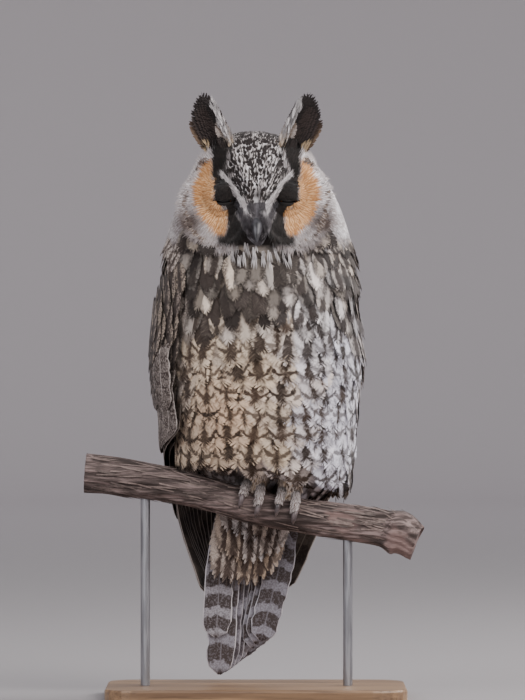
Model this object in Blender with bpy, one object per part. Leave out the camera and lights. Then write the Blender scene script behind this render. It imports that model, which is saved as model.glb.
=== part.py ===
"""Long-eared owl at rest on a cut length of branch, held by a plain display stand.

Sizes here are millimetres, and every mesh is scaled to metres as it is made. The owl faces -Y,
its own left is +X, +Z is up, and the origin is the centre of the underside of the base.
Angles round the body start at -Y, the front, and grow towards +X.
"""
import math

import bmesh
import bpy
from mathutils import Matrix, Vector

MM = 0.001
GAP = 0.3

# Feathers: thickness of a vane, and the step from one vane's face to the next one's
VANE = 0.55
LAYER = 0.92
# Clear space under a wing, which leaves room for the flat faces of both meshes
WING_CLEAR = 0.9

# Where the whole body is parted: rump to tail, torso to neck, neck to head
TAIL_CUT = 118.0
NECK_CUT = 262.0
HEAD_CUT = 284.0
CROWN_TOP = 357.0

# Body: height, centre x, centre y, half width, half depth, slope of the section along x
BODY = (
    (118.0, 2.0, 24.0, 30.0, 17.0, -0.20),
    (136.0, 2.5, 23.0, 38.0, 20.0, -0.20),
    (143.0, 3.0, 21.5, 46.0, 21.5, -0.20),
    (148.0, 4.0, 15.5, 52.0, 27.5, -0.20),
    (152.0, 5.0, 8.5, 55.0, 34.5, -0.18),
    (156.0, 5.0, 2.5, 57.0, 40.5, -0.15),
    (162.0, 5.0, -1.5, 58.5, 45.0, -0.10),
    (176.0, 5.5, -3.5, 59.6, 48.5, 0.0),
    (201.0, 5.1, -5.0, 62.0, 51.0, 0.0),
    (227.0, 5.5, -5.0, 63.0, 52.0, 0.0),
    (252.0, 4.5, -3.0, 62.0, 51.0, 0.0),
    (271.0, 3.4, -1.0, 61.6, 49.0, 0.0),
    (284.0, 1.9, 1.0, 60.9, 47.5, 0.0),
    (296.0, 1.5, 1.5, 58.0, 46.5, 0.0),
    (309.0, 1.5, 0.5, 53.5, 45.5, 0.0),
    (322.0, 1.2, -1.0, 47.5, 43.5, 0.0),
    (334.0, 0.3, -2.5, 39.6, 38.5, 0.0),
    (347.0, -0.6, -4.5, 31.0, 28.5, 0.0),
    (354.0, -1.5, -6.0, 20.5, 18.0, 0.0),
    (357.0, -2.0, -6.5, 9.0, 8.0, 0.0),
)
# Heights of the torso's sections between its two cuts, and of the neck's
RUMP_RING = 127.0
TORSO_RINGS = (136.0, 140.0, 143.5, 147.0, 150.5, 154.0, 158.0, 165.0, 176.0, 190.0, 205.0, 220.0,
               235.0, 249.0)
NECK_RINGS = (269.0, 276.5)
TORSO_SIDES = 36

# Head: rings close together, and sides closer together over the face than at the nape
HEAD_RING_STEP = 4.0
FACE_SIDES = 30
FACE_SPREAD = math.radians(76.0)
NAPE_SIDES = 16

# Face: centre and half size of each half of the facial disc, its dip and its rim
DISC_CENTRE = (24.0, 314.0)
DISC_HALF = (19.0, 27.0)
DISC_DIP = 6.0
DISC_RIM = 2.4
BROW_RIDGE = 2.4
BROW_HALF = 9.0
BILL_MOUND = 4.0
MOUND_HALF = 8.0
MOUND_HEIGHT = 300.0

# Eyes: under lids that are almost shut
EYE_CENTRE = (19.0, -28.4, 317.5)
EYE_RADIUS = 9.5
LID_RADIUS = 11.2
LID_SLIT = (12.5, 2.4)
EYE_TURN = math.radians(12.0)
EYE_PITCH = math.radians(14.0)

# Bill, upper and lower half: root, tip, width, depth and how far the middle bows out
UPPER_BILL = ((0.6, -41.0, 305.0), (0.6, -56.5, 288.5), 11.0, 9.0, 2.6)
LOWER_BILL = ((0.6, -43.0, 293.2), (0.6, -54.0, 287.4), 8.4, 6.0, 0.4)
# Share of the length, and of the width there
BILL_TAPER = ((0.0, 1.0), (0.3, 0.93), (0.55, 0.74), (0.78, 0.46), (0.94, 0.2))
BILL_SIDES = 10
NOSTRIL_PLACE = (4.6, -49.2, 300.0)
NOSTRIL_RADIUS = 0.9

# Ear tufts: six feathers each, from the crown's side up and out
TUFT_FEATHERS = 6
TUFT_ROOT = (20.0, -20.0, 346.0)
TUFT_BALL = 8.0
TUFT_BALL_SHAPE = (1.15, 0.8, 1.0, 1.0)
TUFT_HALF_WIDTH = 4.6
TUFT_RISE = (30.0, 36.0, 39.5, 39.5, 35.5, 29.0)
# How far the innermost and the outermost feather lean out
TUFT_LEAN = (6.5, 19.5)
TUFT_FACE = (0.25, -1.0, 0.15)
TUFT_OUTLINE = ((0.0, 0.7), (0.3, 0.95), (0.6, 1.0), (0.85, 0.66), (1.0, 0.22))

# Wings: the surface that they lie on, which leaves the torso's below the flanks
WING_LIE = (
    (50.0, 0.0, 27.0, 25.5, 18.0),
    (63.0, 0.0, 26.0, 28.5, 21.0),
    (75.0, 0.0, 24.0, 32.5, 24.0),
    (87.0, 1.0, 22.0, 38.5, 27.5),
    (100.0, 1.5, 20.0, 44.0, 30.5),
    (112.0, 2.5, 18.0, 48.5, 33.5),
    (125.0, 3.0, 15.0, 51.5, 36.0),
    (138.0, 4.0, 10.0, 55.5, 40.0),
    (151.0, 5.0, 3.0, 58.0, 45.5),
    (163.0, 5.2, -1.8, 59.0, 48.0),
    (176.0, 5.5, -3.5, 59.6, 48.5),
    (201.0, 5.1, -5.0, 62.0, 51.0),
    (227.0, 5.5, -5.0, 63.0, 52.0),
    (252.0, 4.5, -3.0, 62.0, 51.0),
    (271.0, 3.4, -1.0, 61.6, 49.0),
    (284.0, 1.9, 1.0, 60.9, 47.5),
)
# Leading and trailing edge of each folded wing, as angles round the body
WING_SPAN = {"right": (-56.0, -155.5), "left": (124.0, 198.5)}
# How far the leading edge draws back behind the branch, and the heights where it does
WING_SWEEP = {"right": -30.0, "left": 6.0}
SWEEP_FROM = 172.0
SWEEP_TO = 150.0
# Where the tips of the primaries come together
WING_TIPS = {"right": (-93.0, -128.0), "left": (150.0, 184.0)}
# Thickness of the folded arm at heights from its lower edge to the shoulder
ARM_PAD = ((150.0, 3.4), (163.0, 4.4), (176.0, 5.4), (190.0, 6.6), (205.0, 8.4), (220.0, 10.3),
           (236.0, 12.0), (252.0, 12.0), (266.0, 8.0), (277.0, 2.0))
ARM_ACROSS = 7
# Tiers: vanes, root height, tip height, offset of the lowest face
WING_TIERS = {
    "secondaries": (7, 186.0, 116.0, 4.9),
    "greater coverts": (6, 212.0, 160.0, 7.5),
    "median coverts": (6, 240.0, 190.0, 10.1),
}
TIER_DROOP = 4.0
TIER_OUTLINE = ((0.0, 0.6), (0.32, 0.97), (0.62, 1.0), (0.88, 0.72), (1.0, 0.25))
# Half of a vane's width, as a share of the step to the next vane
HALF_VANE = 0.95
# How much deeper a vane's root lies than the rest of it
ROOT_SINK = 3.2
PRIMARIES = 6
PRIMARY_ROOT = 160.0
PRIMARY_TIP = 63.0
PRIMARY_OFFSET = 1.2
# The share of the wing's width that the primaries' roots take
PRIMARY_SHARE = 0.86
# Share of the length, and the half width there
PRIMARY_OUTLINE = ((0.0, 5.5), (0.25, 7.0), (0.5, 7.6), (0.75, 6.6), (0.91, 4.4), (1.0, 1.6))
# How much higher than the lowest tip each primary ends
PRIMARY_STEPS = (14.0, 4.0, 0.0, 4.0, 12.0, 22.0)

# Tail: twelve feathers that hang together and end in a point to the owl's right
TAIL_FEATHERS = 12
TAIL_ROOT_HEIGHT = 106.0
TAIL_ROOT_SPREAD = (-21.0, 23.0)
TAIL_FRONT = 16.5
TAIL_LEAN = math.tan(math.radians(7.0))
TAIL_HALF_WIDTH = 9.5
TAIL_OUTLINE = ((0.0, 0.72), (0.35, 0.95), (0.7, 1.0), (0.9, 0.74), (0.975, 0.42), (1.0, 0.16))
TAIL_LOWEST = 13.0
# Tips: place of the short outer feather's, and the range and rise of the others
SHORT_TIP = (-25.5, 37.0)
TAIL_TIP_SPREAD = (-23.5, 3.0)
TAIL_TIP_RISE = 22.0
# Coverts of the tail: vanes, range of roots and of tips along x, heights of both, layer, order
TAIL_COVERTS = {
    "front long": (5, (-19.0, 13.0), (-25.0, 3.0), 111.0, 68.0, -1.5, -1),
    "front short": (4, (-15.0, 14.0), (-19.0, 8.0), 113.0, 85.0, -3.8, -1),
    "behind": (5, (-15.0, 15.0), (-19.0, 9.0), 111.0, 76.0, 12.6, 1),
}
COVERT_HALF_WIDTH = 8.2
COVERT_OUTLINE = ((0.0, 0.75), (0.35, 1.0), (0.7, 0.95), (0.9, 0.6), (1.0, 0.2))
COVERT_RISE = 7.0
# Base of the tail, below the cut: height, centre x, centre y, half width, half depth
TAIL_BASE = (
    (117.7, 2.0, 24.0, 29.5, 16.5),
    (110.0, 1.0, 23.5, 28.0, 15.0),
    (102.0, 0.0, 23.0, 25.0, 12.0),
    (95.0, -1.5, 23.5, 20.0, 8.5),
    (90.0, -3.0, 23.5, 14.0, 5.5),
)
TAIL_BASE_SIDES = 20

# Branch: points on its axis, x, y and height, and its radius
BRANCH_AXIS = (
    (-108.0, -9.0, 143.0),
    (-86.0, -10.0, 139.8),
    (-60.0, -11.5, 136.0),
    (-35.5, -12.0, 130.4),
    (0.0, -12.0, 120.8),
    (40.6, -12.0, 113.5),
    (78.6, -12.5, 108.1),
    (92.0, -14.0, 104.5),
    (101.0, -15.5, 98.5),
)
BRANCH_RADIUS = 10.5
BRANCH_SIDES = 12
BRANCH_STEPS = 24
KNOB_X = 90.0
KNOB_SWELL = 3.4
KNOB_HALF = 7.0
# Place of the grip's middle, and half the length of the smooth stretch under it
GRIP_X = 8.0
GRIP_HALF = 18.0

# Feet: place along x, with the leg over the middle of the grip
LEG_X = {"right": -4.0, "left": 19.0}
TOE_RADIUS = 3.1
GRIP_GAP = 0.45
SOLE_THICK = 4.2
SOLE_HALF = 7.0
SOLE_ANGLES = (-42.0, -14.0, 14.0, 42.0)
ANKLE_RADIUS = 6.4
ANKLE_TOP = 7.8
# The leg's radii, and their heights above the ankle
LEG_RADII = (6.2, 8.0, 10.5, 10.5)
LEG_HEIGHTS = (0.0, 5.0, 12.0, 26.0)
# Toes: number, place along the branch, angle round it from the top to where the talon starts
TOES = ((1, 3.5, -78.0), (2, -4.5, 62.0), (3, 3.6, 78.0), (4, -4.0, -70.0))
TOE_STEPS = 5
TOE_SPLAY = 1.6
TOE_LIFT = 0.3
TALON_ARC = 42.0
TALON_RADIUS = 1.9
TALON_TAPER = (1.0, 0.94, 0.74, 0.48, 0.2)

# Stand: flat base and two rods
BASE_SIZE = (190.0, 134.0)
BASE_THICK = 8.0
BASE_CORNER = 22.0
BASE_EDGE = 1.6
CORNER_STEPS = 6
ROD_X = {"right": -70.0, "left": 58.0}
ROD_RADIUS = 3.0


def table_row(table, height):
    """The values of a table at a height, on a smooth curve through its rows."""
    last = len(table) - 1
    height = min(max(height, table[0][0]), table[last][0])
    i = 0
    while i < last - 1 and table[i + 1][0] < height:
        i += 1
    low, high = table[i], table[i + 1]
    before, after = table[max(i - 1, 0)], table[min(i + 2, last)]
    span = high[0] - low[0]
    t = (height - low[0]) / span
    row = []
    for k in range(1, len(low)):
        leave = (high[k] - before[k]) / (high[0] - before[0]) * span
        arrive = (after[k] - low[k]) / (after[0] - low[0]) * span
        step = high[k] - low[k]
        row.append(low[k] + leave * (t - 2 * t * t + t ** 3) + step * (3 * t * t - 2 * t ** 3)
                   + arrive * (t ** 3 - t * t))
    return row


def mix(a, b, t):
    """The value part of the way from one number to another."""
    return a + (b - a) * t


def smooth(edge0, edge1, value):
    """A soft step from 0 to 1 between two values."""
    t = min(max((value - edge0) / (edge1 - edge0), 0.0), 1.0)
    return t * t * (3 - 2 * t)


def body_point(angle, height, offset=0.0):
    """A point on the body, or off it by an offset."""
    cx, cy, half_width, half_depth, slope = table_row(BODY, height)
    x = cx + (half_width + offset) * math.sin(angle)
    y = cy - (half_depth + offset) * math.cos(angle)
    return Vector((x, y, height + slope * x))


def wing_point(angle, height, offset):
    """A point over the surface that the folded wings lie on."""
    cx, cy, half_width, half_depth = table_row(WING_LIE, height)
    return Vector((cx + (half_width + offset) * math.sin(angle),
                   cy - (half_depth + offset) * math.cos(angle), height))


def add_mesh(name, points, faces, finish):
    """A new object from points in millimetres."""
    mesh = bpy.data.meshes.new(name)
    mesh.from_pydata([Vector(p) * MM for p in points], [], faces)
    mesh.materials.append(finish)
    piece = bpy.data.objects.new(name, mesh)
    bpy.context.scene.collection.objects.link(piece)
    bm = bmesh.new()
    bm.from_mesh(mesh)
    bmesh.ops.recalc_face_normals(bm, faces=bm.faces)
    if bm.calc_volume(signed=True) < 0:
        bmesh.ops.reverse_faces(bm, faces=bm.faces)
    bm.to_mesh(mesh)
    bm.free()
    return piece


def ring_faces(rings, sides):
    """Triangles between rings that lie one after another."""
    faces = []
    for i in range(rings - 1):
        for k in range(sides):
            a = i * sides + k
            b = i * sides + (k + 1) % sides
            faces.append((a, b, b + sides))
            faces.append((a, b + sides, a + sides))
    return faces


def loft(name, rings, finish, pointed=False):
    """A closed form through rings of points; its last end can come to a point."""
    sides = len(rings[0])
    points = [p for ring in rings for p in ring]
    faces = ring_faces(len(rings), sides)
    faces.append(tuple(range(sides))[::-1])
    top = (len(rings) - 1) * sides
    if pointed:
        points.append(sum(rings[-1], Vector()) / sides)
        faces += [(top + k, top + (k + 1) % sides, len(points) - 1) for k in range(sides)]
    else:
        faces.append(tuple(range(top, top + sides)))
    return add_mesh(name, points, faces, finish)


def vane_solid(name, lower, upper, finish):
    """A thin closed vane from rows of points; both faces are split alike."""
    rows, across = len(lower), len(lower[0])
    points = [p for row in lower for p in row] + [p for row in upper for p in row]
    shift = rows * across
    faces = []
    for i in range(rows - 1):
        for k in range(across - 1):
            a, b = i * across + k, i * across + k + 1
            c, d = b + across, a + across
            faces += [(a, c, b), (a, d, c)]
            faces += [(a + shift, b + shift, c + shift), (a + shift, c + shift, d + shift)]
    edge = list(range(across))
    edge += [i * across + across - 1 for i in range(1, rows)]
    edge += [(rows - 1) * across + k for k in range(across - 2, -1, -1)]
    edge += [i * across for i in range(rows - 2, 0, -1)]
    for a, b in zip(edge, edge[1:] + edge[:1]):
        faces += [(a, b, b + shift), (a, b + shift, a + shift)]
    return add_mesh(name, points, faces, finish)


def blade(name, root, tip, side, face, half_width, outline, finish, bow=0.0, cup=0.0):
    """A vane from root to tip: side points across it, face points out of its upper face."""
    lower, upper = [], []
    for step, share in outline:
        half = half_width * share
        middle = root.lerp(tip, step) + face * (bow * math.sin(math.pi * step))
        row = [middle - side * half + face * cup, middle, middle + side * half + face * cup]
        lower.append(row)
        upper.append([p + face * VANE for p in row])
    return vane_solid(name, lower, upper, finish)


def apply_boolean(piece, operation, solver, operand=None, collection=None):
    """Run one Boolean on a piece and keep its result as the piece's mesh."""
    cut = piece.modifiers.new("Join", "BOOLEAN")
    cut.operation = operation
    cut.solver = solver
    if collection:
        cut.operand_type = "COLLECTION"
        cut.collection = collection
    else:
        cut.object = operand
    graph = bpy.context.evaluated_depsgraph_get()
    mesh = bpy.data.meshes.new_from_object(piece.evaluated_get(graph))
    piece.modifiers.clear()
    piece.data = mesh


def keep_largest(piece):
    """Keep only the largest closed surface of a piece, split into triangles."""
    bm = bmesh.new()
    bm.from_mesh(piece.data)
    bmesh.ops.triangulate(bm, faces=bm.faces)
    waiting = set(bm.faces)
    largest, best = set(), 0.0
    while waiting:
        seed = waiting.pop()
        group, stack = {seed}, [seed]
        while stack:
            for edge in stack.pop().edges:
                for face in edge.link_faces:
                    if face in waiting:
                        waiting.discard(face)
                        group.add(face)
                        stack.append(face)
        area = sum(face.calc_area() for face in group)
        if area > best:
            largest, best = group, area
    loose = [face for face in bm.faces if face not in largest]
    bmesh.ops.delete(bm, geom=loose, context="FACES")
    bm.to_mesh(piece.data)
    bm.free()


def unite(name, pieces, solver="EXACT"):
    """Join pieces into one closed body with one Boolean union."""
    first, others = pieces[0], pieces[1:]
    group = bpy.data.collections.new(name + "_pieces")
    bpy.context.scene.collection.children.link(group)
    for other in others:
        bpy.context.scene.collection.objects.unlink(other)
        group.objects.link(other)
    apply_boolean(first, "UNION", solver, collection=group)
    for other in others:
        bpy.data.objects.remove(other)
    bpy.data.collections.remove(group)
    keep_largest(first)
    first.name = name
    first.data.name = name
    return first


def cut_away(piece, cutter, keep_cutter=True):
    """Take a cutter's space out of a piece."""
    apply_boolean(piece, "DIFFERENCE", "EXACT", operand=cutter)
    if not keep_cutter:
        bpy.data.objects.remove(cutter)
    keep_largest(piece)


def ball(name, centre, radius, finish, across=16, up=10):
    """A closed ball."""
    rings = []
    for i in range(1, up):
        polar = math.pi * i / up
        ring = []
        for k in range(across):
            turn = math.tau * k / across
            ring.append(Vector(centre) + radius * Vector((math.sin(polar) * math.cos(turn),
                                                          math.sin(polar) * math.sin(turn),
                                                          -math.cos(polar))))
        rings.append(ring)
    points = [p for ring in rings for p in ring]
    bottom, top = len(points), len(points) + 1
    points += [Vector(centre) - Vector((0, 0, radius)), Vector(centre) + Vector((0, 0, radius))]
    faces = ring_faces(len(rings), across)
    last = (len(rings) - 1) * across
    for k in range(across):
        faces.append((bottom, (k + 1) % across, k))
        faces.append((top, last + k, last + (k + 1) % across))
    return add_mesh(name, points, faces, finish)


def tube(name, centres, radii, across_dirs, up_dirs, sides, finish, pointed=False):
    """A tube whose rings lie across its path."""
    rings = []
    for centre, radius, side, up in zip(centres, radii, across_dirs, up_dirs):
        rings.append([centre + radius * (math.cos(math.tau * k / sides) * side
                                         + math.sin(math.tau * k / sides) * up)
                      for k in range(sides)])
    return loft(name, rings, finish, pointed)


def make_torso(feathers):
    """The body from the rump to the base of the neck."""
    heights = (TAIL_CUT, RUMP_RING, *TORSO_RINGS, NECK_CUT)
    rings = []
    for height in heights:
        rings.append([body_point(math.tau * k / TORSO_SIDES, height) for k in range(TORSO_SIDES)])
    # The cut to the tail is level, and the next section half as steep as the body's
    for p in rings[0]:
        p.z = TAIL_CUT
    for p in rings[1]:
        p.z = mix(RUMP_RING, p.z, 0.5)
    return loft("torso", rings, feathers)


def make_neck(feathers):
    """The ring of feathers between torso and head."""
    rings = []
    for height in (NECK_CUT + GAP, *NECK_RINGS, HEAD_CUT):
        rings.append([body_point(math.tau * k / TORSO_SIDES, height) for k in range(TORSO_SIDES)])
    return loft("neck", rings, feathers)


def face_relief(x, height):
    """How far the face stands out or dips at a place seen from the front."""
    relief = 0.0
    away = math.hypot((abs(x) - DISC_CENTRE[0]) / DISC_HALF[0],
                      (height - DISC_CENTRE[1]) / DISC_HALF[1])
    relief -= DISC_DIP * (1 - smooth(0.25, 1.0, away))
    relief += DISC_RIM * math.exp(-((away - 1.08) / 0.13) ** 2)
    ridge = smooth(292.0, 302.0, height) * (1 - smooth(326.0, 346.0, height))
    relief += BROW_RIDGE * ridge * math.exp(-(x / BROW_HALF) ** 2)
    mound = math.hypot(x, height - MOUND_HEIGHT) / MOUND_HALF
    relief += BILL_MOUND * math.exp(-mound ** 2)
    return relief


def head_angles():
    """Angles of the head's sides, close together over the face."""
    face = [mix(-FACE_SPREAD, FACE_SPREAD, k / FACE_SIDES) for k in range(FACE_SIDES + 1)]
    rest = math.tau - 2 * FACE_SPREAD
    nape = [FACE_SPREAD + rest * k / NAPE_SIDES for k in range(1, NAPE_SIDES)]
    return face + nape


def make_head(feathers):
    """The head with its facial disc, brow ridge and lids, parted from the neck."""
    steps = round((CROWN_TOP - HEAD_CUT) / HEAD_RING_STEP)
    angles = head_angles()
    rings = []
    for i in range(steps + 1):
        # Rings draw together towards the top, where the crown turns over
        t = i / steps
        height = mix(HEAD_CUT + GAP, CROWN_TOP, 1 - (1 - t) ** 1.25)
        ring = []
        for angle in angles:
            p = body_point(angle, height)
            front = smooth(0.1, 0.45, math.cos(angle))
            reach = face_relief(p.x, height) * front * smooth(HEAD_CUT, HEAD_CUT + 8.0, height)
            ring.append(body_point(angle, height, reach))
        rings.append(ring)
    head = loft("head", rings, feathers)
    pieces = [head]
    for side in (-1, 1):
        pieces.append(ball("lid", eye_centre(side), LID_RADIUS, feathers))
    head = unite("head", pieces)
    for side in (-1, 1):
        centre = eye_centre(side)
        socket = ball("socket", centre, EYE_RADIUS + GAP, feathers)
        cut_away(head, unite("socket", [socket, slit_cutter(centre, side, feathers)]), False)
    return head


def eye_centre(sign):
    """Centre of the eye on one side."""
    return Vector((EYE_CENTRE[0] * sign, EYE_CENTRE[1], EYE_CENTRE[2]))


def slit_cutter(centre, side, finish):
    """An almond that opens the lids in front of the eye."""
    look = Vector((side * math.sin(EYE_TURN), -math.cos(EYE_TURN) * math.cos(EYE_PITCH),
                   -math.sin(EYE_PITCH))).normalized()
    across = look.cross(Vector((0, 0, 1))).normalized()
    up = across.cross(look).normalized()
    outline = []
    steps = 5
    for sign in (1, -1):
        for k in range(steps):
            t = k / steps
            u = mix(-1, 1, t) * sign
            outline.append((u * LID_SLIT[0] / 2, sign * (1 - u * u) * LID_SLIT[1] / 2))
    rings = []
    for reach in (EYE_RADIUS * 0.72, LID_RADIUS + 6.0):
        rings.append([centre + look * reach + across * a + up * b for a, b in outline])
    return loft("slit", rings, finish)


def bill_half(name, root, tip, width, depth, bow, horn):
    """One half of the bill, from its root to its point."""
    root, tip = Vector(root), Vector(tip)
    down = (tip - root).normalized()
    across = Vector((1, 0, 0))
    out = across.cross(down).normalized()
    if out.y > 0:
        out = -out
    rings = []
    for t, grow in BILL_TAPER:
        centre = root.lerp(tip, t) + out * (bow * math.sin(math.pi * t))
        ring = []
        for k in range(BILL_SIDES):
            turn = math.tau * k / BILL_SIDES
            ring.append(centre + across * (math.cos(turn) * width / 2 * grow)
                        + out * (math.sin(turn) * depth / 2 * grow))
        rings.append(ring)
    return loft(name, rings, horn, pointed=True)


def make_bill(head, horn):
    """The hooked upper bill with its nostrils, and the lower bill under it."""
    upper = bill_half("bill_upper", *UPPER_BILL, horn)
    cut_away(upper, head)
    for side in (-1, 1):
        place = (UPPER_BILL[0][0] + side * NOSTRIL_PLACE[0], *NOSTRIL_PLACE[1:])
        cut_away(upper, ball("nostril", place, NOSTRIL_RADIUS, horn, 8, 6), False)
    move(upper, Vector((0, -GAP, -GAP * 0.5)))
    lower = bill_half("bill_lower", *LOWER_BILL, horn)
    cut_away(lower, head)
    cut_away(lower, upper)
    # Down more than forward, so that the line of the mouth stays open as well
    move(lower, Vector((0, -GAP * 0.8, -GAP * 2)))


def move(piece, step):
    """Shift a piece's mesh by a step in millimetres."""
    piece.data.transform(Matrix.Translation(step * MM))


def make_tuft(side, sign, head, feathers):
    """One ear tuft: a fan of feathers on a small root that fits the crown."""
    root = Vector((TUFT_ROOT[0] * sign, TUFT_ROOT[1], TUFT_ROOT[2]))
    base = ball("root", root, TUFT_BALL, feathers, 12, 8)
    base.data.transform(Matrix.Translation(root * MM) @ Matrix.Diagonal(TUFT_BALL_SHAPE)
                        @ Matrix.Translation(-root * MM))
    pieces = [base]
    for k in range(TUFT_FEATHERS):
        t = k / (TUFT_FEATHERS - 1)
        # From the inner feather, low and upright, to the outer one that leans out
        start = root + Vector((sign * mix(-4.0, 5.0, t), mix(-2.6, 2.4, t), mix(3.5, -0.5, t)))
        lean = mix(*TUFT_LEAN, t)
        end = Vector((root.x + sign * lean, start.y - 2.0, root.z + TUFT_RISE[k] - 2.0))
        along = (end - start).normalized()
        face = Vector((-sign * TUFT_FACE[0], *TUFT_FACE[1:])).normalized()
        across = along.cross(face).normalized()
        face = across.cross(along).normalized()
        pieces.append(blade("tuft vane", start, end, across, face, TUFT_HALF_WIDTH, TUFT_OUTLINE,
                            feathers, -1.2, 0.5))
    tuft = unite("ear_tuft_" + side, pieces)
    cut_away(tuft, head)
    move(tuft, Vector((sign * GAP * 0.6, -GAP * 0.3, GAP * 0.9)))


def make_arm(side, feathers):
    """The folded arm of a wing: a pad that follows the body and thins to its edges."""
    lower, upper = [], []
    for height, thick in ARM_PAD:
        lead, trail = wing_edges(side, height)
        below, above = [], []
        for k in range(ARM_ACROSS + 1):
            t = k / ARM_ACROSS
            angle = mix(lead, trail, t)
            edge = smooth(-0.02, 0.16, t) * smooth(-0.02, 0.12, 1 - t)
            below.append(wing_point(angle, height, WING_CLEAR))
            above.append(wing_point(angle, height, WING_CLEAR + 0.7 + (thick - 0.7) * edge))
        lower.append(below)
        upper.append(above)
    return vane_solid("arm", lower, upper, feathers)


def wing_vane(path, half_width, tilt, offset, sign, feathers):
    """One wing feather along a path of heights and angles, tilted like a roof tile."""
    lower, upper = [], []
    for step, (angle, height) in enumerate(path):
        radius = wing_radius(angle, height)
        half = half_width[step]
        low, high = [], []
        for u in (-1, 0, 1):
            lift = offset[step] + tilt[step] * (0.5 - 0.5 * u * sign)
            place = angle + u * half / radius
            low.append(wing_point(place, height, lift))
            high.append(wing_point(place, height, lift + VANE))
        lower.append(low)
        upper.append(high)
    return vane_solid("vane", lower, upper, feathers)


def wing_edges(side, height):
    """Leading and trailing edge of a wing at a height, as angles."""
    lead, trail = WING_SPAN[side]
    lead += WING_SWEEP[side] * smooth(0.0, 1.0, (SWEEP_FROM - height) / (SWEEP_FROM - SWEEP_TO))
    return math.radians(lead), math.radians(trail)


def wing_radius(angle, height):
    """Distance round the body that one radian takes at a place on the wing."""
    row = table_row(WING_LIE, height)
    return math.hypot(row[2] * math.cos(angle), row[3] * math.sin(angle))


def make_tier(side, count, root, tip, offset, feathers):
    """A tier of overlapping vanes across a wing."""
    sign = 1 if side == "left" else -1
    share = 1 / (count - 1 + 2 * HALF_VANE)
    vanes = []
    for k in range(count):
        t = (HALF_VANE + k) * share
        # The tier's lower edge droops towards the back, where the inner feathers are long
        end = tip - TIER_DROOP * math.sin(math.pi * t) + 1.5 * math.sin(5.0 * k)
        path, halves, tilts, offsets = [], [], [], []
        for s, w in TIER_OUTLINE:
            height = mix(root, end, s)
            lead, trail = wing_edges(side, height)
            angle = mix(lead, trail, t)
            pitch = abs(trail - lead) * share * wing_radius(angle, height)
            half = HALF_VANE * pitch * w
            path.append((angle, height))
            halves.append(half)
            tilts.append(LAYER * 2 * half / pitch)
            offsets.append(offset - ROOT_SINK * (1 - smooth(0.0, 0.35, s)))
        vanes.append(wing_vane(path, halves, tilts, offsets, sign, feathers))
    return vanes


def make_primaries(side, feathers):
    """The long outer feathers, which come together at the wing's tip."""
    first, last = (math.radians(a) for a in WING_TIPS[side])
    sign = 1 if side == "left" else -1
    vanes = []
    for k in range(PRIMARIES):
        t = (k + 0.5) / PRIMARIES
        tip_angle = mix(first, last, t)
        end = PRIMARY_TIP + PRIMARY_STEPS[k]
        path, halves, tilts, offsets = [], [], [], []
        for s, w in PRIMARY_OUTLINE:
            height = mix(PRIMARY_ROOT, end, s)
            lead, trail = wing_edges(side, height)
            angle = mix(mix(lead, trail, t * PRIMARY_SHARE), tip_angle, s * s)
            spread = mix(abs(trail - lead) * PRIMARY_SHARE, abs(last - first), s * s)
            pitch = spread / PRIMARIES * wing_radius(angle, height)
            path.append((angle, height))
            halves.append(w)
            tilts.append(LAYER * 2 * w / pitch)
            offsets.append(PRIMARY_OFFSET)
        vanes.append(wing_vane(path, halves, tilts, offsets, sign, feathers))
    return vanes


def make_wing(side, feathers):
    """A folded wing: the arm, three tiers of feathers and the primaries below them."""
    pieces = [make_arm(side, feathers)]
    pieces += make_primaries(side, feathers)
    for count, root, tip, offset in WING_TIERS.values():
        pieces += make_tier(side, count, root, tip, offset, feathers)
    return unite("wing_" + side, pieces, "MANIFOLD")


def tail_place(x, height, layer):
    """A point in the hanging tail, which leans back as it goes down."""
    return Vector((x, TAIL_FRONT + (TAIL_ROOT_HEIGHT - height) * TAIL_LEAN + layer * LAYER, height))


def make_tail(feathers):
    """The tail's base, its twelve feathers and the coverts before and behind them."""
    rings = []
    for height, cx, cy, half_width, half_depth in TAIL_BASE:
        turns = [math.tau * k / TAIL_BASE_SIDES for k in range(TAIL_BASE_SIDES)]
        rings.append([Vector((cx + half_width * math.sin(turn), cy - half_depth * math.cos(turn),
                              height)) for turn in turns])
    pieces = [loft("base", rings, feathers)]
    face = Vector((0, 1, 0))
    middle = (TAIL_FEATHERS - 1) / 2
    for k in range(TAIL_FEATHERS):
        t = k / (TAIL_FEATHERS - 1)
        root_x = mix(*TAIL_ROOT_SPREAD, t)
        # The feather at the owl's right edge is short; from the next one the tips step up
        if k == 0:
            tip_x, tip_z = SHORT_TIP
        else:
            place = (k - 1) / (TAIL_FEATHERS - 2)
            tip_x = mix(*TAIL_TIP_SPREAD, place)
            tip_z = TAIL_LOWEST + TAIL_TIP_RISE * place ** 1.2
        layer = 2 * k if k < middle else 2 * (TAIL_FEATHERS - 1 - k) + 1
        root = tail_place(root_x, TAIL_ROOT_HEIGHT, layer)
        tip = tail_place(tip_x, tip_z, layer)
        side = (tip - root).cross(face).normalized()
        if side.x < 0:
            side = -side
        pieces.append(blade("rectrix", root, tip, side, face, TAIL_HALF_WIDTH, TAIL_OUTLINE, feathers))
    pieces += tail_coverts(face, feathers)
    return unite("tail", pieces, "MANIFOLD")


def tail_coverts(face, feathers):
    """Soft coverts: two tiers in front of the tail and one behind it."""
    vanes = []
    across = Vector((1, 0, 0))
    for count, roots, tips, root_z, tip_z, layer, order in TAIL_COVERTS.values():
        for k in range(count):
            t = k / (count - 1)
            depth = layer + order * (k % 2)
            root = tail_place(mix(*roots, t), root_z, depth)
            end = tip_z + COVERT_RISE * (2 * t - 0.8) ** 2
            tip = tail_place(mix(*tips, t), end, depth)
            vanes.append(blade("covert", root, tip, across, face, COVERT_HALF_WIDTH, COVERT_OUTLINE,
                               feathers))
    return vanes


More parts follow.
